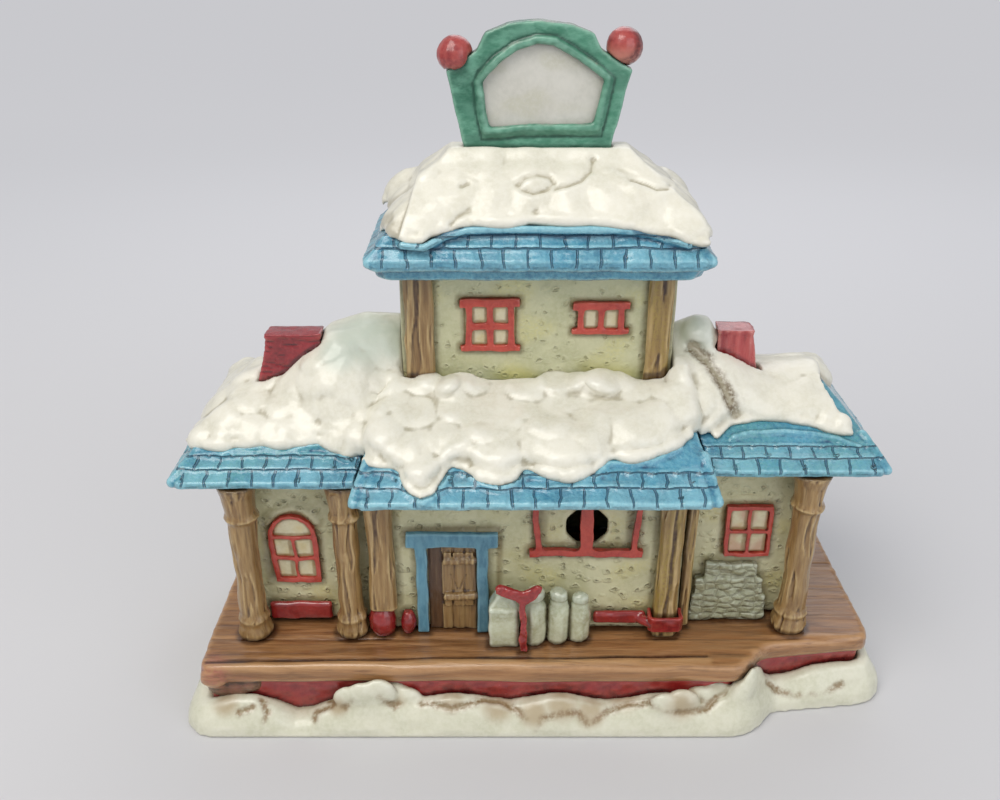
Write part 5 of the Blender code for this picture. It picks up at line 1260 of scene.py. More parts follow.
@dataclass
class Snow:
    """Snow on the two roofs and round the foot of the house."""

    lower_nodes: tuple[str, ...] = ("snow_lower", "roof_bay", "roof_left_wing", "roof_right_wing")
    upper_nodes: tuple[str, ...] = ("snow_upper", "tower_roof")
    # Dabs on the lower roof, by the photograph's pixels: across, down and radius.
    wing_dabs: tuple[Spot, ...] = (
        (200, 433, 17), (223, 413, 18), (220, 439, 18), (250, 398, 20), (248, 430, 20), (280, 432, 21),
        (283, 403, 19), (308, 407, 16), (302, 436, 17), (337, 410, 21), (330, 436, 16), (350, 390, 20),
        (335, 380, 18), (311, 383, 18), (361, 430, 20), (376, 408, 24), (388, 380, 22), (350, 450, 14),
        (312, 362, 14), (330, 352, 15), (262, 382, 16), (236, 388, 14),
    )
    heap_dabs: tuple[Spot, ...] = ((345, 338, 20), (372, 330, 26), (386, 352, 24), (356, 362, 22))
    bay_dabs: tuple[Spot, ...] = (
        (446, 383, 19), (421, 380, 20), (414, 412, 23), (390, 400, 20), (384, 430, 20), (402, 448, 20),
        (421, 468, 18), (489, 420, 33), (455, 408, 20), (450, 440, 20), (496, 460, 27), (563, 458, 31),
        (549, 424, 24), (588, 428, 25), (563, 376, 20), (606, 376, 23), (525, 385, 22), (642, 420, 34),
        (636, 446, 24), (667, 434, 24), (692, 401, 25), (668, 385, 22), (520, 410, 16), (538, 448, 17),
        (601, 450, 17), (472, 376, 18), (634, 390, 20), (690, 425, 15),
    )
    edge_lobes: tuple[Spot, ...] = (
        (206, 430, 15), (203, 437, 13), (226, 432, 15), (256, 431, 14), (286, 432, 14), (312, 430, 13),
        (338, 436, 14), (352, 444, 12), (384, 445, 20), (404, 458, 13), (421, 470, 17), (420, 480, 14),
        (450, 446, 13), (495, 456, 25), (562, 448, 27), (588, 450, 17), (633, 436, 24), (662, 434, 19),
        (684, 420, 14), (735, 412, 11), (760, 404, 14), (786, 404, 14), (808, 411, 13), (826, 418, 12),
        (841, 425, 9),
    )
    ridge_lobes: tuple[Spot, ...] = (
        (556, 380, 19), (574, 378, 16), (604, 378, 20), (622, 380, 14), (448, 382, 15), (430, 380, 14),
        (698, 328, 15), (708, 334, 11),
    )
    # Mounds over the red band: pixels across, down and radius in millimetres.
    mounds: tuple[Spot, ...] = (
        (348, 700, 5.0), (362, 697, 5.6), (378, 694, 5.6), (393, 696, 5.6), (406, 700, 5.0), (664, 706, 5.0),
        (682, 703, 5.4), (700, 699, 5.4), (716, 693, 5.0),
    )
    right_dabs: tuple[Spot, ...] = (
        (700, 338, 20), (765, 392, 26), (800, 398, 26), (832, 414, 20), (782, 366, 22), (748, 372, 18),
    )
    upper_dabs: tuple[Spot, ...] = (
        (420, 214, 20), (452, 196, 30), (500, 200, 36), (560, 206, 34), (612, 200, 34), (656, 172, 18),
        (640, 160, 15), (668, 182, 10), (652, 190, 16), (686, 218, 22), (480, 160, 24), (530, 168, 26),
    )
    # Rolled lower edge of the snow, by the photograph's pixels: across and down.
    left_edge: tuple[tuple[float, float], ...] = (
        (190, 441), (200, 445), (228, 447), (250, 444), (280, 445), (302, 443), (318, 440), (335, 448),
        (352, 455),
    )
    bay_edge: tuple[tuple[float, float], ...] = (
        (366, 462), (386, 466), (401, 470), (407, 487), (420, 497), (431, 493), (439, 480), (450, 462),
        (465, 468), (480, 479), (498, 483), (515, 477), (524, 466), (540, 473), (568, 477), (593, 472),
        (606, 456), (630, 459), (655, 453), (675, 445), (690, 433),
    )
    right_edge: tuple[tuple[float, float], ...] = (
        (716, 437), (728, 424), (754, 419), (783, 419), (810, 424), (834, 431), (853, 434),
    )
    upper_edge: tuple[tuple[float, float], ...] = (
        (397, 236), (408, 240), (420, 240), (440, 229), (455, 225), (480, 223), (508, 224), (533, 220),
        (560, 221), (585, 222), (611, 223), (640, 228), (672, 234), (698, 242), (709, 245),
    )
    upper_creases: tuple[tuple[tuple[float, float], ...], ...] = (
        ((519, 186), (525, 179), (537, 176), (549, 178), (553, 184), (547, 191), (533, 194), (522, 191),
         (519, 186)),
        ((556, 189), (568, 186), (582, 181), (591, 172), (593, 160)),
        ((632, 181), (645, 185), (656, 190), (668, 189), (672, 180)),
        ((452, 224), (458, 217), (468, 211)),
        ((462, 186), (467, 184)),
        ((533, 222), (536, 212)),
    )
    valley: tuple[tuple[float, float], ...] = ((693, 347), (710, 363), (723, 382), (732, 402), (727, 432))

    def build(self) -> None:
        """Models the three snow pieces."""
        self._lower()
        self._upper()
        self._skirt()

    @staticmethod
    def _placed(spots: Iterable[Spot], nodes: tuple[str, ...], height: float) -> list[tuple]:
        """Finds where the photograph's dabs lie.

        Args:
            spots: Pixels across, down and radius.
            nodes: The nodes that they sit on.
            height: How thick a dab is, in millimetres.

        Returns:
            Each dab's middle, direction, radius and thickness.
        """
        placed = []
        for px, py, size in spots:
            point, normal = Frame.seen_at(px, py, nodes)
            reach = size * (point - Vector(VIEW.place)).length / VIEW.focal_px
            placed.append((point, normal, reach, height))
        return placed

    @staticmethod
    def _planned(node: str, inset: float, spacing: float, height: float) -> list[tuple]:
        """Lays dabs in rows on the sides that the photograph doesn't show.

        Args:
            node: The snow's node.
            inset: How far the outer row lies from the node's box.
            spacing: Distance of the dabs.
            height: How thick a dab is.

        Returns:
            Each dab's middle, direction, radius and thickness.
        """
        low, high = box_mm(node)
        placed = []
        for row in range(2):
            gap = inset + row * spacing
            left, right, back = low.x + gap, high.x - gap, high.y - gap
            corners = ((left, 2.0), (left, back), (right, back), (right, 2.0))
            for (ax, ay), (bx, by) in zip(corners, corners[1:]):
                count = max(1, round(math.hypot(bx - ax, by - ay) / spacing))
                for i in range(count):
                    share = (i + 0.5 * row) / count
                    x, y = ax + (bx - ax) * share, ay + (by - ay) * share
                    found = Frame.below(x, y, (node,))
                    if found:
                        size = spacing * (0.72 + 0.2 * noise.noise(Vector((x, y, 5)) / 6))
                        placed.append((*found, size, height))
        return placed

    @staticmethod
    def _pillows(placed: Sequence[tuple]) -> Field:
        """Flat dabs that overlap downhill, each with a soft lower lip.

        Args:
            placed: Each dab's middle, direction, radius and thickness.

        Returns:
            The height field.
        """
        def raised(points: np.ndarray, normals: np.ndarray) -> np.ndarray:
            """Height of the highest dab at each point.

            Args:
                points: The snow's points.
                normals: Their directions; not used.

            Returns:
                The heights.
            """
            total = np.zeros(len(points))
            bent = points + np.stack([noise_at(points, (8, 8, 8), 3.0 + 9 * i) for i in range(3)], 1) * 1.1
            for centre, normal, reach, height in placed:
                up = np.array(normal)
                away = bent - np.array(centre)
                lift = away @ up
                down = np.array((0.25, -0.5, -1.0))
                down -= (down @ up) * up
                down /= np.linalg.norm(down)
                flat = away - lift[:, None] * up
                apart = (np.einsum("ij,ij->i", flat, flat) + 0.4 * lift * lift) / reach**2
                dome = np.sqrt(np.clip(1 - apart**1.5, 0, 1))
                slope = 0.35 + 0.65 * rise(flat @ down / reach, -0.95, 0.6)
                total = np.maximum(total, dome * slope * height * min(1.25, reach / 6.5))
            return total

        return raised

    @staticmethod
    def _edge(
        clay: Clay, line: Sequence[tuple[float, float]], nodes: tuple[str, ...], radius: float
    ) -> None:
        """Presses on a rolled edge along a line of pixels.

        Args:
            clay: The snow.
            line: The line's pixels.
            nodes: The roof nodes that it lies on.
            radius: The roll's radius.
        """
        for (ax, ay), (bx, by) in zip(line, line[1:]):
            count = max(1, round(math.hypot(bx - ax, by - ay) / 3))
            for i in range(count):
                px, py = ax + (bx - ax) * i / count, ay + (by - ay) * i / count
                point, normal = Frame.seen_at(px, py, nodes)
                swell = radius * (1 + 0.2 * noise.noise(point / 6))
                clay.ball(point + normal * 0.3 * swell, (swell, swell, swell * 0.95), detail=2)

    @staticmethod
    def _lobes(clay: Clay, spots: Iterable[Spot], nodes: tuple[str, ...], thick: float) -> None:
        """Presses on thick flat lobes.

        Args:
            clay: The snow.
            spots: Pixels across, down and radius.
            nodes: The nodes that they lie on.
            thick: Half their thickness, in millimetres.
        """
        for px, py, size in spots:
            point, normal = Frame.seen_at(px, py, nodes)
            reach = size * (point - Vector(VIEW.place)).length / VIEW.focal_px
            clay.ball(point, (reach, reach * 1.05, thick), normal, detail=4)

    def _lower(self) -> None:
        """Snow on the lower roof."""
        clay = Clay("snow_lower").take("snow_lower")
        roofs = self.lower_nodes[1:]
        for line in (self.left_edge, self.bay_edge, self.right_edge):
            self._edge(clay, line, roofs, 1.35)
        self._lobes(clay, self.edge_lobes, roofs, 3.3)
        self._lobes(clay, self.ridge_lobes, self.lower_nodes, 2.2)
        clay.fuse(0.66).soften(6)
        self._press_heaps(clay)
        dabs = self._placed(self.wing_dabs, self.lower_nodes, 1.25)
        dabs += self._placed(self.heap_dabs, self.lower_nodes, 0.7)
        dabs += self._placed(self.bay_dabs, self.lower_nodes, 1.15)
        dabs += self._placed(self.right_dabs, self.lower_nodes, 0.75)
        dabs += self._planned("snow_lower", 6.5, 10.0, 1.1)
        clay.work(self._pillows(dabs)).soften(1)
        clay.work(lambda p, n: 0.12 * noise_at(p, (4, 4, 4)) + 0.05 * noise_at(p, (1.5, 1.5, 1.5), 4.0))
        valley = Frame.line_at(self.valley, ("snow_lower",))
        clay.groove((valley,), 1.3, 1.9, 0.3)

        def dirt(points: np.ndarray, normals: np.ndarray) -> np.ndarray:
            """Brown paint left in the valley beside the right wing."""
            ragged = apart_from(points, valley) + 0.9 * noise_at(points, (2.5, 2.5, 2.5), 6.0)
            return 1.15 * (1 - rise(ragged, 0.8, 3.2))

        def shade(points: np.ndarray, normals: np.ndarray) -> np.ndarray:
            """Painted greenish grey shade on the heaps beside the tower."""
            spots = ((362, 336, 50), (340, 352, 30), (392, 340, 34), (700, 335, 30))
            return 0.85 * Frame.patches(points, spots, ("snow_lower",))

        clay.finish(SNOW, Slot.SNOW, stain=dirt, tint=shade, seat=1.2, hollow=0.9)

    @staticmethod
    def _press_heaps(clay: Clay) -> None:
        """Presses two heaps flatter and tucks a strip under the shingles of the right hip.

        Args:
            clay: The snow.
        """
        points = clay.points
        front = (points[:, 1] < 1.0) & (np.abs(points[:, 0] + 3) < 40)
        over = np.where(front, np.maximum(points[:, 2] - 99.2, 0), 0)
        points[:, 2] -= 0.5 * over
        px, py = VIEW.pixels(points)
        hip = 806 + (py - 356) * 0.69
        strip = rise(px, hip, hip + 7) * rise(-points[:, 1], -14.0, -9.0) * rise(points[:, 0], 84.0, 86.0)
        points[:, 2] -= 5.5 * strip
        clay.settle()

    def _upper(self) -> None:
        """Snow on the tower roof."""
        clay = Clay("snow_upper").take("snow_upper")
        self._edge(clay, self.upper_edge, self.upper_nodes[1:], 1.45)
        clay.fuse(0.56).soften(4)
        dabs = self._placed(self.upper_dabs, self.upper_nodes, 0.55)
        dabs += self._planned("snow_upper", 5.0, 9.0, 0.9)
        clay.work(self._pillows(dabs)).soften(3)
        px, py = VIEW.pixels(clay.points)
        outer = rise(400 + (240 - py) * 0.3 - px, 0, 14) * (1 - rise(clay.points[:, 1], 14, 30))
        clay.points += outer[:, None] * np.array((2.0, 0.3, -1.8))
        creases = [Frame.line_at(line, ("snow_upper",)) for line in self.upper_creases]
        clay.groove(creases, 0.85, 0.95, 0.35)
        clay.groove([[point + Vector((0, -0.7, -1.3)) for point in line] for line in creases[:3]], -0.5, 1.1)
        clay.work(lambda p, n: 0.13 * noise_at(p, (6, 6, 5)) + 0.04 * noise_at(p, (1.5, 1.5, 1.5), 4.0))
        clay.finish(SNOW, Slot.SNOW, seat=1.1, hollow=0.9)

    def _skirt(self) -> None:
        """Snow round the foot of the house."""
        clay = Clay("snow_skirt").take("snow_skirt")
        node = ("snow_skirt",)
        for px, py, size in self.mounds:
            point, _ = Frame.seen_at(px, py, ("snow_skirt", "foundation", "deck"))
            clay.ball(point + Vector((0, 0.5, 0)), (size, 1.9, size * 0.9), detail=4)
        clay.fuse(0.62).soften(9)
        scallops = Frame.line_at(
            ((415, 697), (430, 703), (452, 709), (470, 704), (484, 700), (500, 702), (517, 710), (526, 719),
             (536, 728), (544, 717), (560, 713), (578, 713), (588, 723), (598, 718), (606, 712), (628, 703),
             (649, 704), (681, 712), (706, 709), (716, 698)), node)
        right_line = Frame.line_at(((768, 682), (776, 690), (792, 695), (820, 692), (840, 684)), node)
        left_bits = [
            Frame.line_at(((262, 700), (268, 712), (264, 722)), node),
            Frame.line_at(((312, 700), (317, 712), (316, 720)), node),
            Frame.line_at(((330, 700), (345, 706), (356, 694)), node),
            Frame.line_at(((391, 690), (395, 706), (405, 700)), node),
            Frame.line_at(((240, 712), (252, 708)), node),
        ]

        def drifts(points: np.ndarray, normals: np.ndarray) -> np.ndarray:
            """Low waves of the drifts.

            Args:
                points: The snow's points.
                normals: Their directions; not used.

            Returns:
                The heights.
            """
            out = rise(points[:, 2], 0.6, 4.0)
            fine = 0.14 * noise_at(points, (3.2, 3.2, 2.6), 3.0)
            return out * (0.55 * noise_at(points, (13, 10, 7)) + fine)

        def outwards(points: np.ndarray, normals: np.ndarray) -> np.ndarray:
            """A wider foot."""
            return 1.5 * (1 - rise(points[:, 2], 3.0, 11.0))

        def soil(points: np.ndarray, normals: np.ndarray) -> np.ndarray:
            """Brown paint along the scalloped line under the red band.

            Args:
                points: The snow's points.
                normals: Their directions; not used.

            Returns:
                The paint's share.
            """
            best = apart_from(points, scallops)
            for line in (*left_bits, right_line):
                best = np.minimum(best, apart_from(points, line))
            best = best + 0.5 * noise_at(points, (2, 2, 2), 2.0)
            return (1 - rise(best, 0.4, 2.0)) * 0.95

        def stained(points: np.ndarray, normals: np.ndarray) -> np.ndarray:
            """A thin tan wash between the red band and the scalloped line.

            Args:
                points: The snow's points.
                normals: Their directions; not used.

            Returns:
                The paint's share.
            """
            spots = ((452, 700, 16), (500, 696, 22), (534, 712, 20), (562, 703, 24), (590, 712, 20),
                     (625, 697, 20), (680, 700, 24), (400, 697, 14), (338, 704, 16), (226, 702, 18))
            return 0.8 * Frame.patches(points, spots, node)

        clay.work(drifts).swell(outwards)
        clay.groove((scallops, right_line, *left_bits), 0.55, 0.8, 0.15)
        clay.finish(SNOW_BASE, Slot.SNOW, stain=soil, tint=stained, seat=1.8)


# Roofs

@dataclass(frozen=True)
class HipRoof:
    """Sizes of one hipped roof, in millimetres, and the corners with a rolled hip."""

    node: str
    eaves: tuple[float, float, float, float]
    top: tuple[float, float, float, float]
    foot: float
    crown: float
    hips: str
    voxel: float


@dataclass
class ShingledRoofs:
    """The four shingled roofs, with rolls along their hips and under the snow."""

    rows: int = 2
    shingle: float = 6.6
    corner: float = 3.0
    solid_share: float = 0.105
    course_share: float = 0.128
    hip_radius: float = 1.9
    # How far the tower's eaves hang below the solid's, by height.
    eave_heights: tuple[float, ...] = (136.5, 138.0, 141.0, 145.0, 149.0, 153.0)
    eave_drops: tuple[float, ...] = (5.2, 4.9, 3.9, 3.0, 1.4, 0.0)
    roofs: tuple[HipRoof, ...] = (
        HipRoof("roof_bay", (-53.4, 48.0, -40.0, 43.5), (-44.6, 41.6, -3.0, 32.5), 79.6, 97.0, "lf rf", 0.52),
        HipRoof(
            "roof_left_wing", (-107.0, -45.6, -29.0, 43.5), (-87.0, -45.6, 2.25, 12.25), 79.6, 96.4,
            "lf lb", 0.43
        ),
        HipRoof(
            "roof_right_wing", (42.6, 99.5, -25.5, 43.5), (42.6, 85.5, 4.0, 14.0), 81.6, 96.4,
            "rf rb", 0.43
        ),
        HipRoof(
            "tower_roof", (-50.1, 47.1, -12.0, 37.0), (-26.5, 23.5, 8.0, 17.0), 142.7, 160.5,
            "lf rf lb rb", 0.48
        ),
    )
    # Smooth rolls of blue clay along the snow's edge, by the photograph's pixels.
    rolls: tuple[tuple[str, tuple[tuple[float, float], ...]], ...] = (
        ("roof_left_wing", ((200, 451), (222, 455), (238, 450), (262, 448), (285, 452), (303, 449),
                            (320, 445), (336, 452), (348, 460))),
        ("roof_bay", ((398, 474), (406, 494), (420, 503), (434, 498), (443, 486), (453, 469))),
        ("roof_bay", ((470, 476), (484, 486), (500, 490), (517, 484), (527, 474), (545, 479), (570, 483),
                      (596, 478), (608, 463), (632, 465), (658, 459), (680, 448))),
        ("roof_right_wing", ((734, 437), (752, 433), (784, 432), (812, 434), (838, 440), (858, 446))),
        ("tower_roof", ((402, 244), (424, 247), (446, 235), (470, 229), (520, 229), (566, 230), (612, 229),
                        (650, 233), (690, 244))),
    )

    def build(self) -> None:
        """Models the roofs."""
        for roof in self.roofs:
            clay = Clay(roof.node).take(roof.node)
            self._respace(clay, roof)
            for hip in roof.hips.split():
                self._hip(clay, roof, hip)
            for node, line in self.rolls:
                if node == roof.node:
                    self._roll(clay, line)
            clay.fuse(roof.voxel).soften(1)
            self._mark(clay, roof)
            clay.wobble(0.35, 10.0)
            clay.work(self._hammered)
            clay.finish(SHINGLE, Slot.SHINGLE, stain=self._teal, seat=1.1, hollow=1.1)

    def _respace(self, clay: Clay, roof: HipRoof) -> None:
        """Makes the two lower courses taller, drops the third step and lowers the tower's eaves.

        Args:
            clay: The roof, before anything is pressed on.
            roof: Its sizes.
        """
        steps = [self.solid_share * course for course in (1, 2, 3)]
        taller = (self.course_share, 2 * self.course_share, steps[2])
        slope = roof.crown - roof.foot
        for vertex in clay.raw.verts:
            place = vertex.co / MM
            lifted = (place.z - roof.foot) / slope
            for course in range(3):
                away = place.z - (roof.foot + steps[course] * slope)
                if abs(away) > 0.52:
                    continue
                share = steps[course] + (0.006 if away > 0 else 0.0)
                lifted = taller[course] + (0.006 if away > 0 else 0.0)
                for axis, pair in ((0, (0, 1)), (1, (2, 3))):
                    for side in pair:
                        run = roof.top[side] - roof.eaves[side]
                        if abs(place[axis] - roof.eaves[side] - run * share) < 0.3:
                            place[axis] += run * (lifted - share)
                            break
                flat = away * (0.0 if course == 2 else 1.0)
                place.z = roof.foot + lifted * slope + flat
                break
            if roof.node == "tower_roof":
                place.z -= float(np.interp(place.z, self.eave_heights, self.eave_drops))
            vertex.co = place * MM

    def _hip(self, clay: Clay, roof: HipRoof, hip: str) -> None:
        """Lays a roll up one hip.

        Args:
            clay: The roof.
            roof: Its sizes.
            hip: Left or right, and front or back, by their first letters.
        """
        x, y = "lr".index(hip[0]), 2 + "fb".index(hip[1])
        low = self._lowered(roof, roof.foot) - 1.0
        foot = Vector((roof.eaves[x], roof.eaves[y], low))
        crown = Vector((roof.top[x], roof.top[y], roof.crown - 1.0))
        inwards = Vector((crown.x - foot.x, crown.y - foot.y, 0)).normalized()
        clay.roll(foot + inwards * 2.4, foot.lerp(crown, 0.42), self.hip_radius * 0.85, self.hip_radius * 0.8)

    def _lowered(self, roof: HipRoof, height: float) -> float:
        """Height of a level after the tower's eaves are lowered.

        Args:
            roof: The roof's sizes.
            height: The level on the solid.

        Returns:
            The level in the looks.
        """
        if roof.node != "tower_roof":
            return height
        return height - float(np.interp(height, self.eave_heights, self.eave_drops))

    @staticmethod
    def _roll(clay: Clay, line: Sequence[tuple[float, float]]) -> None:
        """Lays a roll along the snow's edge.

        Args:
            clay: The roof.
            line: The roll's pixels.
        """
        points = [point - normal * 0.35 for point, normal in
                  (Frame.seen_at(px, py, (clay.name,)) for px, py in line)]
        for start, end in zip(points, points[1:]):
            clay.roll(start, end, 1.15, 1.15)

    def _mark(self, clay: Clay, roof: HipRoof) -> None:
        """Numbers the shingles, for the finish to draw their joints.

        Args:
            clay: The roof.
            roof: Its sizes.
        """
        points, normals = clay.points, clay.normals
        left, right, front, back = roof.eaves
        levels = np.linspace(roof.foot - 8, roof.crown, 60)
        heights = np.interp(points[:, 2], [self._lowered(roof, level) for level in levels], levels)
        up = (heights - roof.foot) / ((roof.crown - roof.foot) * self.course_share)
        across = []
        for start, end, axis in ((left, right, 0), (front, back, 1)):
            count = int((end - start - 2 * self.corner) / self.shingle)
            margin = (end - start - count * self.shingle) / 2
            across.append((points[:, axis] - start - margin) / self.shingle)
        sides = np.abs(normals[:, 0]) > np.abs(normals[:, 1])
        share = rise(up, -0.85, -0.6) * (1 - rise(up, self.rows + 0.05, self.rows + 0.2))
        share = share * rise(normals[:, 2], -0.3, 0.1)
        for hip in roof.hips.split():
            x, y = "lr".index(hip[0]), 2 + "fb".index(hip[1])
            low = Vector((roof.eaves[x], roof.eaves[y], self._lowered(roof, roof.foot)))
            line = [low, Vector((roof.top[x], roof.top[y], roof.crown))]
            share = share * rise(apart_from(points, line), 2.0, 2.8)
        clay.marks["tile_u"] = np.where(sides, across[1], across[0])
        clay.marks["tile_v"] = up
        clay.marks["tile_share"] = share

    @staticmethod
    def _hammered(points: np.ndarray, normals: np.ndarray) -> np.ndarray:
        """Uneven shingles: each stands a little differently."""
        return 0.16 * noise_at(points, (4.2, 3.0, 3.0)) + 0.06 * noise_at(points, (1.4, 1.4, 1.4), 6.0)

    @staticmethod
    def _teal(points: np.ndarray, normals: np.ndarray) -> np.ndarray:
        """Share of teal: greener blue towards the two wings."""
        wings = np.maximum(rise(-points[:, 0], 46, 66), rise(points[:, 0], 42, 60))
        return np.clip(0.12 + 0.5 * wings * rise(noise_at(points, (16, 12, 12), 2.0), -0.5, 0.4), 0, 1)


# Walls

@dataclass
class Walls:
    """The two plastered storeys."""

    hood_radius: float = 1.3

    def build(self) -> None:
        """Models the shells."""
        node = ("lower_shell",)
        lower = Clay("lower_shell").take("lower_shell")
        hood = Frame.line_at(((411, 533), (440, 532), (470, 531), (495, 530)), node)
        arch = Frame.line_at(((266, 523), (276, 512), (292, 507), (307, 511), (317, 522)), node)
        for line in (hood, arch):
            for start, end in zip(line, line[1:]):
                lower.roll(start, end, self.hood_radius, self.hood_radius)
        lower.fuse(0.9).soften(1)
        lower.work(lambda p, n: 0.25 * noise_at(p, (12, 12, 9)))
        beside = Frame.line_at(((500, 540), (499, 575), (497, 600)), node)

        def olive_and_shadow(points: np.ndarray, normals: np.ndarray) -> np.ndarray:
            """Dark green-brown: olive paint on the door's hood, painted shadow along the arched window's
            ledge, and a dark streak beside the door frame.

            Args:
                points: The wall's points.
                normals: Their directions; not used.

            Returns:
                The paint's share.
            """
            near = np.minimum(apart_from(points, hood), apart_from(points, arch) + 0.5)
            near = np.minimum(near, apart_from(points, beside) + 0.9)
            return 0.72 * (1 - rise(near, 1.0, 2.6))

        lower.finish(PLASTER, Slot.PLASTER, stain=self._yellow, tint=olive_and_shadow, seat=2.2, hollow=0.6)
        upper = Clay("tower_shell").take("tower_shell").fuse(0.75).soften(1)
        upper.work(lambda p, n: 0.2 * noise_at(p, (12, 12, 9)))

        def lemon(points: np.ndarray, normals: np.ndarray) -> np.ndarray:
            """Yellow paint low on the wall, where the snow begins."""
            patchy = rise(noise_at(points, (14, 14, 9), 4.0), -0.4, 0.3)
            return 0.5 * (1 - rise(points[:, 2], 98, 108)) * patchy

        upper.finish(TOWER_PLASTER, Slot.PLASTER, stain=self._yellow, tint=lemon, seat=1.8, hollow=0.6)

    @staticmethod
    def _yellow(points: np.ndarray, normals: np.ndarray) -> np.ndarray:
        """Share of yellow light paint, in patches."""
        return 0.4 * rise(noise_at(points, (15, 15, 10), 5.0), 0.1, 0.55)


# Timber

@dataclass
class Timberwork:
    """Posts, columns and the door."""

    columns: tuple[str, ...] = ("column_left", "column_door", "column_right")
    posts: tuple[str, ...] = (
        "post_door", "post_bay", "post_return", "tower_post_front_left", "tower_post_front_right",
        "tower_post_back_left", "tower_post_back_right",
    )

    def build(self) -> None:
        """Models the timber."""
        for node in self.columns:
            clay = Clay(node).take(node).fuse(0.4).soften(2)
            clay.work(self._grooves).wobble(0.45, 8.0)
            clay.finish(TIMBER, Slot.TIMBER, seat=2.0, hollow=1.0)
        for node in self.posts:
            clay = Clay(node).take(node).fuse(0.4).soften(2)
            clay.work(self._grooves).wobble(0.3, 9.0)
            clay.finish(TIMBER, Slot.TIMBER, stain=self._olive, seat=1.6, hollow=1.0)
        self._door()

    @staticmethod
    def _grooves(points: np.ndarray, normals: np.ndarray) -> np.ndarray:
        """Long grooves cut down the wood.

        Args:
            points: The wood's points.
            normals: Their directions.

        Returns:
            The height at each point.
        """
        sides = 1 - np.abs(normals[:, 2])
        cuts = -0.5 * rise(noise_at(points, (1.7, 1.7, 16), 3.0), 0.12, 0.4)
        return sides * (cuts + 0.3 * noise_at(points, (3.4, 3.4, 11), 7.0) + 0.1)

    @staticmethod
    def _olive(points: np.ndarray, normals: np.ndarray) -> np.ndarray:
        """Share of golden olive paint, on the posts right of the middle."""
        return 0.9 * rise(points[:, 0], 20, 34) * rise(noise_at(points, (5, 5, 30), 3.0), -0.6, 0.3)

    @staticmethod
    def _door() -> None:
        """The plank door with its two thick rails and a sunk reveal on its left, in painted shadow."""
        low, high = box_mm("door")
        clay = Clay("door").take("door")
        front = low.y + 0.7
        reveal, edge = low.x + 4.2, high.x - 0.6
        rail, clear = 1.35, 1.8
        rails = [low.z + (high.z - low.z) * share for share in (0.42, 0.84)]
        for z in rails:
            start, end = Vector((reveal + 1.0, front - 0.5, z)), Vector((edge, front - 0.5, z + 0.3))
            clay.roll(start, end, rail, rail)
        clay.fuse(0.3).soften(2)
        sunk = np.maximum(clay.points[:, 1], low.y + 1.5)
        clay.points[:, 1] = np.where(clay.points[:, 0] < reveal - 0.2, sunk, clay.points[:, 1])
        planks = []
        for x in (reveal + (edge - reveal) * 0.34, reveal + (edge - reveal) * 0.68):
            bays = (low.z, rails[0] - clear, rails[0] + clear, rails[1] - clear, rails[1] + clear, high.z)
            for foot, top in zip(bays[::2], bays[1::2]):
                planks.append([Vector((x, low.y + 0.6, foot)), Vector((x + 0.3, low.y + 0.6, top))])
        middle = reveal + (edge - reveal) * 0.5
        for side in (-1, 1):
            foot = Vector((middle + side * 0.4, low.y + 0.6, rails[0] + 2.4))
            planks.append([foot, foot + Vector((side * 1.9, 0, 5.2))])
        clay.groove(planks, 0.5, 0.36, 0.6)
        clay.groove([[Vector((reveal, low.y, low.z)), Vector((reveal, low.y, high.z))]], 0.9, 0.5, 0.8)
        clay.work(lambda p, n: 0.2 * noise_at(p, (0.95, 2, 9)) + 0.12 * noise_at(p, (2, 2, 3), 2.0))

        def door_brown_and_reveal_shadow(points: np.ndarray, normals: np.ndarray) -> np.ndarray:
            """Dark brown over the whole door, and painted shadow on the reveal at its left."""
            return 0.2 + 0.65 * (1 - rise(points[:, 0], reveal - 0.4, reveal + 0.2))

        clay.finish(TIMBER, Slot.TIMBER, tint=door_brown_and_reveal_shadow, seat=1.2, hollow=1.1)


# Deck and plinth

@dataclass
class Platform:
    """The plank deck and the red plinth under it."""

    # Clay that droops over the left front corner: pixels across, down and radius in millimetres.
    droop: tuple[Spot, ...] = (
        (212, 680, 4.2), (221, 686, 4.8), (236, 687, 4.8), (250, 684, 4.0),
    )

    def build(self) -> None:
        """Models the platform."""
        node = ("deck",)
        deck = Clay("deck").take("deck")
        around = ("deck", "foundation", "snow_skirt")
        for px, py, size in self.droop:
            deck.ball(Frame.seen_at(px, py, around)[0] + Vector((0, 0.8, 0)), (size, 2.0, size * 0.9))
        deck.fuse(0.6).soften(5)
        deck.work(self._boards).wobble(0.35, 16.0)
        front = Frame.line_at(((206, 662), (300, 660), (420, 658), (560, 657), (640, 656), (706, 656)), node)
        lip = [point + Vector((0, -2.2, 0)) for point in front]
        deck.groove((front,), 0.45, 0.75, 0.2).groove((lip,), -0.45, 1.1)

        def clay_pink(points: np.ndarray, normals: np.ndarray) -> np.ndarray:
            """Pinkish paint on the drooping left front corner."""
            spots = ((206, 676, 30), (222, 690, 30), (246, 688, 26), (200, 662, 22))
            return 0.85 * Frame.patches(points, spots, around)

        def tan(points: np.ndarray, normals: np.ndarray) -> np.ndarray:
            """Pale tan on the front lip."""
            return 0.6 * (1 - rise(apart_from(points, lip), 0.6, 2.4))

        deck.finish(DECK_TIMBER, Slot.DECK, stain=clay_pink, tint=tan, seat=2.2, hollow=1.0)
        plinth = Clay("foundation").take("foundation").fuse(0.8).soften(1)
        plinth.work(lambda p, n: (1 - np.abs(n[:, 2])) * 0.22 * noise_at(p, (2.8, 2.8, 1.8)))
        plinth.finish(RED, Slot.BRICK, seat=1.0, hollow=0.7)

    @staticmethod
    def _boards(points: np.ndarray, normals: np.ndarray) -> np.ndarray:
        """Grain along the boards."""
        return 0.24 * noise_at(points, (30, 2.2, 2.2)) + 0.1 * noise_at(points, (9, 1.1, 1.1), 4.0)


# Windows and doorway

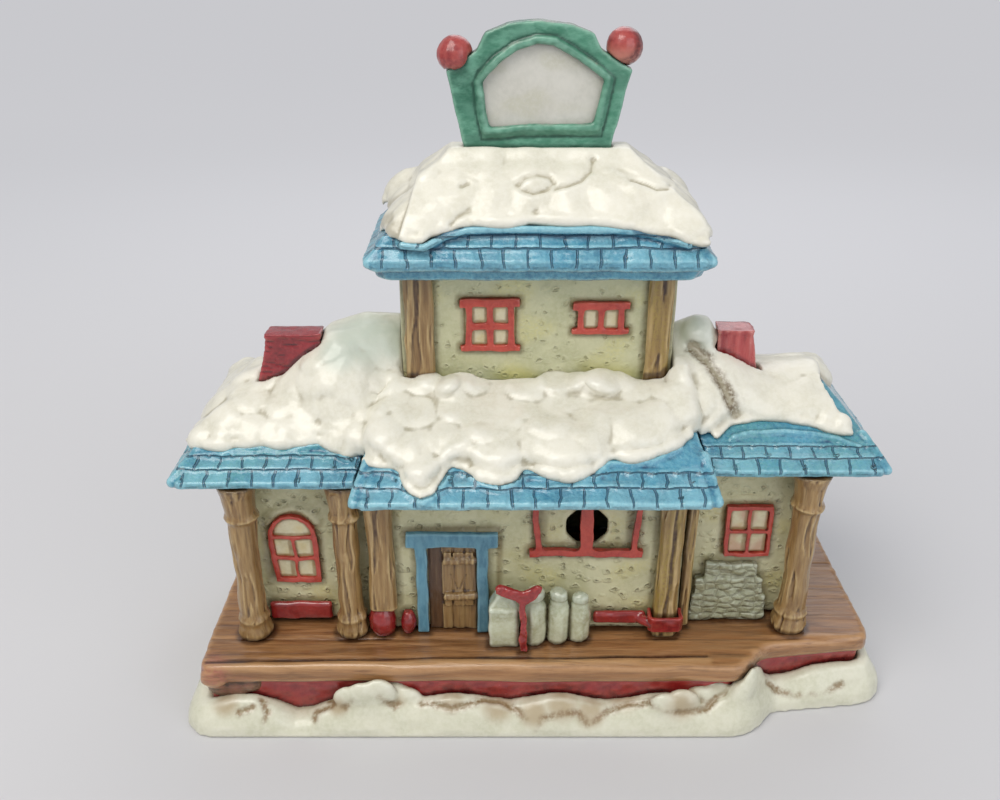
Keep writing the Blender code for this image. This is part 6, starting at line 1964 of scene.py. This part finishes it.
@dataclass
class Openings:
    """Red window frames with pale panes, and the blue door surround."""

    windows: tuple[str, ...] = (
        "bay_window", "arched_window", "right_window", "tower_window_left", "tower_window_right",
    )

    def build(self) -> None:
        """Models the windows and the door surround."""
        thin = {"bay_window": -0.3, "arched_window": -0.22, "right_window": -0.22}
        for node in self.windows:
            shrink = thin.get(node, -0.05)
            clay = Clay(node).take(node).fuse(0.3).soften(2)
            self._lean(clay, node)
            clay.work(lambda p, n: shrink + 0.16 * noise_at(p, (2.4, 2.4, 2.4))).wobble(0.4, 5.0)
            clay.finish(WINDOW_RED, Slot.RED, seat=0.6)
        for node in self.windows[1:]:
            self._pane(node)
        frame_clay = Clay("door_frame").take("door_frame").fuse(0.35).soften(3)
        frame_clay.work(lambda p, n: 0.08 + 0.16 * noise_at(p, (3, 3, 5))).wobble(0.4, 8.0)
        _, high = box_mm("door_frame")

        def brown_edge(points: np.ndarray, normals: np.ndarray) -> np.ndarray:
            """Brown paint along the frame's right edge."""
            jamb = 1 - rise(points[:, 2], high.z - 7, high.z - 5)
            return 0.8 * rise(points[:, 0], high.x - 3.2, high.x - 2.2) * jamb

        frame_clay.finish(TRIM, Slot.TRIM, tint=brown_edge, seat=0.9)

    @staticmethod
    def _lean(clay: Clay, node: str) -> None:
        """Leans the arched window's left side in at its foot, and the bay window's right one.

        Args:
            clay: The window.
            node: Its node.
        """
        leans = {"arched_window": (1.9, 0.0), "bay_window": (-1.2, 1.2), "right_window": (0.5, 0.5)}
        if node not in leans:
            return
        low, high = box_mm(node)
        across = (clay.points[:, 0] - low.x) / (high.x - low.x)
        under = (high.z - clay.points[:, 2]) / (high.z - low.z)
        if node == "bay_window":
            under = (1 - under) * rise(under, 0.95, 0.6)
        left, right = leans[node]
        clay.points[:, 0] += under * (left * (1 - across) + right * across)

    @classmethod
    def _pane(cls, node: str) -> None:
        """A pale pad behind one window's bars.

        Args:
            node: The window's node.
        """
        low, high = box_mm(node)
        inset = 1.5
        crown = high.z - inset
        clay = Clay(f"{node}_pane")
        if node == "arched_window":
            half = (high.x - low.x) / 2 - inset
            spring = high.z - (high.x - low.x) / 2
            centre = Vector(((low.x + high.x) / 2, high.y - 0.6, spring))
            clay.ball(centre, (half, half, 0.9), Vector((0, -1, 0)))
            crown = spring
        clay.pad((low.x + inset, high.y - 1.1, low.z + inset), (high.x - inset, high.y + 0.1, crown), 0.4)
        clay.fuse(0.3).soften(1)
        cls._lean(clay, node)
        clay.work(lambda p, n: 0.1 * noise_at(p, (2, 2, 2)))
        pink = 0.75 if node == "right_window" else 0.0
        clay.finish(
            PANE, Slot.PLASTER, stain=lambda p, n: 0.4 * rise(noise_at(p, (4, 4, 4), 3.0), 0.0, 0.5),
            tint=lambda p, n: pink * rise(noise_at(p, (5, 5, 5), 6.0), -0.4, 0.2), seat=1.0,
        )


# Things on the deck

@dataclass
class DeckGoods:
    """Boards, kegs, parcels, cans and the stack of blocks."""

    boards: tuple[str, ...] = ("bench_left", "bench_right", "post_foot", "keg_large", "keg_small")
    cans: tuple[str, ...] = ("sack", "can_left", "can_right", "parcel")

    def build(self) -> None:
        """Models the goods."""
        for node in self.boards:
            clay = Clay(node).take(node)
            if node == "bench_right":
                low, high = box_mm(node)
                band, _ = box_mm("post_foot")
                z = (low.z + high.z) / 2
                start = Vector((high.x - 3.0, low.y + 1.4, z))
                clay.roll(start, Vector((band.x + 1.2, band.y + 1.7, z)), 1.6, 1.6)
            clay.fuse(0.32).soften(3)
            clay.work(lambda p, n: 0.16 * noise_at(p, (3, 3, 3)) + 0.08).wobble(0.35, 6.0)
            clay.finish(RED, Slot.RED, seat=0.8)
        for node in self.cans:
            clay = Clay(node).take(node)
            low, high = box_mm(node)
            if node.startswith("can"):
                neck = Vector(((low.x + high.x) / 2, (low.y + high.y) / 2, high.z - 4.6))
                clay.ball(neck, (2.5, 2.3, 2.6))
            clay.fuse(0.34).soften(4)
            clay.work(lambda p, n: 0.3 * noise_at(p, (3.2, 3.2, 5)) + 0.3).wobble(0.4, 6.0)
            clay.finish(CAN, Slot.CAN, stain=lambda p, n: 0.5 * rise(p[:, 2], 32, 40), seat=2.0, hollow=1.2)
        self._ribbon()
        stack = Clay("block_stack").take("block_stack").fuse(0.4).soften(3)
        stack.work(lambda p, n: 0.35 * noise_at(p, (3.0, 2.0, 2.0)) + 0.05).wobble(0.5, 6.0)
        stack.finish(STACK, Slot.CAN, seat=1.8, hollow=1.1)

    @staticmethod
    def _ribbon() -> None:
        """The red tape and its bow, laid on thickly."""
        low, high = box_mm("ribbon")
        clay = Clay("ribbon").take("ribbon")
        knot = Vector(((low.x + high.x) / 2 + 1.0, low.y + 0.9, high.z - 3.2))
        for x, z in ((low.x + 0.9, high.z - 0.8), (high.x - 0.9, high.z - 1.0)):
            end = Vector((x, knot.y, z))
            clay.roll(knot, end, 0.95, 0.8)
            clay.ball(end, (1.2, 1.0, 1.1))
        clay.ball(knot, (1.5, 1.2, 1.3))
        clay.fuse(0.28).soften(2)
        clay.work(lambda p, n: 0.3 * noise_at(p, (1.6, 1.6, 1.8)) - 0.06).wobble(0.6, 4.0)
        clay.finish(RED, Slot.RED, seat=0.6)


# Chimneys

@dataclass
class Chimneys:
    """The two brick chimneys: courses on the left one, streaks on the right."""

    course: float = 1.7
    right_share: float = 0.84

    def build(self) -> None:
        """Models the chimneys."""
        left = Clay("chimney_left").take("chimney_left").fuse(0.45).press_top(1.9).soften(14)
        left.work(self._courses).wobble(0.7, 9.0).finish(BRICK, Slot.BRICK, seat=1.0)
        right = Clay("chimney_right").take("chimney_right").fuse(0.45).press_top(1.9).soften(14)
        right.narrow(self.right_share)
        right.work(lambda p, n: 0.45 * noise_at(p, (1.6, 1.6, 16), 3.0) * (1 - np.abs(n[:, 2])))
        right.wobble(0.6, 9.0).finish(PALE_BRICK, Slot.BRICK, seat=1.0)

    def _courses(self, points: np.ndarray, normals: np.ndarray) -> np.ndarray:
        """Lines drawn between the courses of brick.

        Args:
            points: The chimney's points.
            normals: Their directions.

        Returns:
            The height at each point.
        """
        level = points[:, 2] + 0.12 * points[:, 0] + 0.5 * noise_at(points, (6, 6, 6))
        phase = np.abs((level / self.course) % 1.0 - 0.5) * self.course
        sides = 1 - np.abs(normals[:, 2])
        broken = rise(noise_at(points, (5, 5, 1.4), 8.0), -0.3, 0.2)
        return -0.24 * (1 - rise(phase, 0.08, 0.4)) * sides * broken + 0.12 * noise_at(points, (2, 2, 2), 5.0)


# Sign

@dataclass
class Sign:
    """The arched sign with its bare panel and two knobs."""

    # The rim round the panel, by the photograph's pixels.
    rim: tuple[tuple[float, float], ...] = (
        (486, 129), (478, 80), (486, 70), (499, 58), (515, 46), (536, 40), (554, 41), (571, 50), (588, 62),
        (608, 76), (596, 127), (486, 129),
    )
    rim_radius: float = 1.25

    def build(self) -> None:
        """Models the sign."""
        faces = ("sign_frame", "sign_panel")
        inner = Frame.line_at(self.rim, faces)
        front = min(point.y for point in inner)
        inner = [Vector((point.x, front + 0.25, point.z)) for point in inner]
        border = Clay("sign_frame").take("sign_frame")
        middle = sum(inner[:-1], Vector()) / (len(inner) - 1)
        for grow, sunk in ((1.0, 0.0), (1.05, 0.6), (1.1, 0.8), (1.15, 0.9)):
            line = [middle + (point - middle) * grow + Vector((0, sunk, 0)) for point in inner]
            for start, end in zip(line, line[1:]):
                border.roll(start, end, self.rim_radius, self.rim_radius)
        border.fuse(0.42).soften(4)
        outer = [middle + (point - middle) * 1.16 for point in inner]
        for i in (0, 1, 9, 10, 11):
            outer[i].x = middle.x + (inner[i].x - middle.x) * 1.1
        border.groove((outer,), 0.4, 0.55, 0.5)
        border.work(lambda p, n: 0.18 * noise_at(p, (5, 5, 5)) + 0.08 * noise_at(p, (1.6, 1.6, 1.6), 3.0))
        border.wobble(0.45, 9.0)

        def outline(points: np.ndarray, normals: np.ndarray) -> np.ndarray:
            """Darker green on the frame's edges and between its two rims."""
            patchy = rise(noise_at(points, (7, 7, 3.5), 2.0), -0.25, 0.3)
            return np.clip(0.65 * rise(np.abs(normals[:, 1]), 0.75, 0.35) + 0.45 * patchy, 0, 0.8)

        border.finish(SIGN_GREEN, Slot.SIGN_GREEN, stain=self._bare_top, tint=outline, seat=0.9)
        panel = Clay("sign_panel").take("sign_panel").fuse(0.5).soften(1)
        panel.work(lambda p, n: 0.2 + 0.12 * noise_at(p, (7, 7, 7)))
        panel.finish(
            SIGN_PALE, Slot.SIGN_PALE, stain=lambda p, n: 0.5 * rise(noise_at(p, (8, 8, 6), 2.0), 0.1, 0.5),
            seat=0.6,
        )
        for side in ("left", "right"):
            self._knob(side)

    @staticmethod
    def _knob(side: str) -> None:
        """One knob, pressed a little flat.

        Args:
            side: Left or right.
        """
        node = f"sign_knob_{side}"
        low, high = box_mm(node)
        knob = Clay(node).take(node).fuse(0.34).soften(3)
        knob.work(lambda p, n: 0.1 + 0.35 * noise_at(p, (5, 5, 5)))
        centre = np.array((low + high) / 2)

        def crescent(points: np.ndarray, normals: np.ndarray) -> np.ndarray:
            """Dark paint round the outside of the right knob."""
            apart = np.hypot(points[:, 0] - centre[0] + 1.6, points[:, 2] - centre[2] - 1.2)
            return 0.8 * rise(apart, 3.4, 5.0) if side == "right" else np.zeros(len(points))

        def salmon(points: np.ndarray, normals: np.ndarray) -> np.ndarray:
            """Salmon paint low on the right knob."""
            low_share = 1 - rise(points[:, 2], low.z + 1.5, high.z - 3)
            return 0.75 * low_share if side == "right" else 0.0 * low_share

        knob.finish(KNOB_RED, Slot.RED, stain=crescent, tint=salmon, seat=0.8)

    @staticmethod
    def _bare_top(points: np.ndarray, normals: np.ndarray) -> np.ndarray:
        """Share of bare glaze, where the sign's top edge was rubbed."""
        return 0.55 * rise(normals[:, 2], 0.2, 0.8) * rise(noise_at(points, (6, 6, 4), 4.0), 0.0, 0.4)


# Lamp

@dataclass
class Lamp:
    """The clip-in lamp holder, its spring clips and its bulb."""

    def build(self) -> None:
        """Dresses the lamp's nodes."""
        plain = {
            "lamp_holder": self._plastic(), "spring_clip_left": self._steel(),
            "spring_clip_right": self._steel(), "bulb_cap": self._brass(), "bulb_glass": self._glass(),
        }
        for node, material in plain.items():
            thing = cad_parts[node]
            thing.data.materials.clear()
            thing.data.materials.append(material)
            LOG.info("%s: dressed", node)

    @staticmethod
    def _base(
        name: str, colour: Colour, roughness: float, metallic: float, size: float
    ) -> bpy.types.Material:
        """A plain material with fine unevenness in colour, gloss and surface.

        Args:
            name: Its name.
            colour: Its colour.
            roughness: Its mean roughness.
            metallic: 1 for metal, else 0.
            size: How many features lie in a millimetre.

        Returns:
            The material.
        """
        found = bpy.data.materials.get(name)
        if found:
            return found
        made = bpy.data.materials.new(name)
        made.use_nodes = True
        tree = NodeTree(made.node_tree)
        shader = made.node_tree.nodes["Principled BSDF"]
        place = tree.scaled(tree.add("TexCoord").outputs["Object"], (1000.0 * size,) * 3)
        grain = tree.noise(place, 5.0, 4.0)
        shade = tree.ramp(grain.outputs["Fac"], 0.3, 0.7)
        darker = tuple(int(value * 0.86) for value in colour)
        tree.feed(shader.inputs["Base Color"], tree.mix(shade, linear(darker), linear(colour)))
        rough = tree.maths("MULTIPLY_ADD", grain.outputs["Fac"], 0.2, roughness - 0.1)
        tree.feed(shader.inputs["Roughness"], rough)
        bump = tree.add("Bump")
        bump.inputs["Strength"].default_value = 0.25
        bump.inputs["Distance"].default_value = 0.06 * MM
        tree.feed(bump.inputs["Height"], grain.outputs["Fac"])
        tree.feed(shader.inputs["Normal"], bump.outputs["Normal"])
        shader.inputs["Metallic"].default_value = metallic
        return made

    @classmethod
    def _plastic(cls) -> bpy.types.Material:
        """White moulded plastic."""
        return cls._base("holder_plastic", (232, 231, 224), 0.45, 0.0, 1.4)

    @classmethod
    def _steel(cls) -> bpy.types.Material:
        """Spring steel strip."""
        return cls._base("clip_steel", (190, 190, 188), 0.3, 1.0, 2.0)

    @classmethod
    def _brass(cls) -> bpy.types.Material:
        """Brass of the bulb's cap."""
        return cls._base("cap_brass", (214, 186, 120), 0.28, 1.0, 2.0)

    @classmethod
    def _glass(cls) -> bpy.types.Material:
        """Frosted glass of the bulb.

        Returns:
            The material.
        """
        made = cls._base("bulb_frosted", (240, 238, 228), 0.35, 0.0, 0.8)
        made.node_tree.nodes["Principled BSDF"].inputs["Transmission Weight"].default_value = 0.35
        return made


def main() -> None:
    """Builds the scene, one sub-assembly after another."""
    logging.basicConfig(level=logging.INFO, format="%(message)s")
    parts = (
        Studio(), Snow(), ShingledRoofs(), Walls(), Timberwork(), Platform(), Openings(), DeckGoods(),
        Chimneys(), Sign(), Lamp(),
    )
    for part in parts:
        part.build()
        LOG.info("%s built", type(part).__name__)


if __name__ == "__main__":
    main()
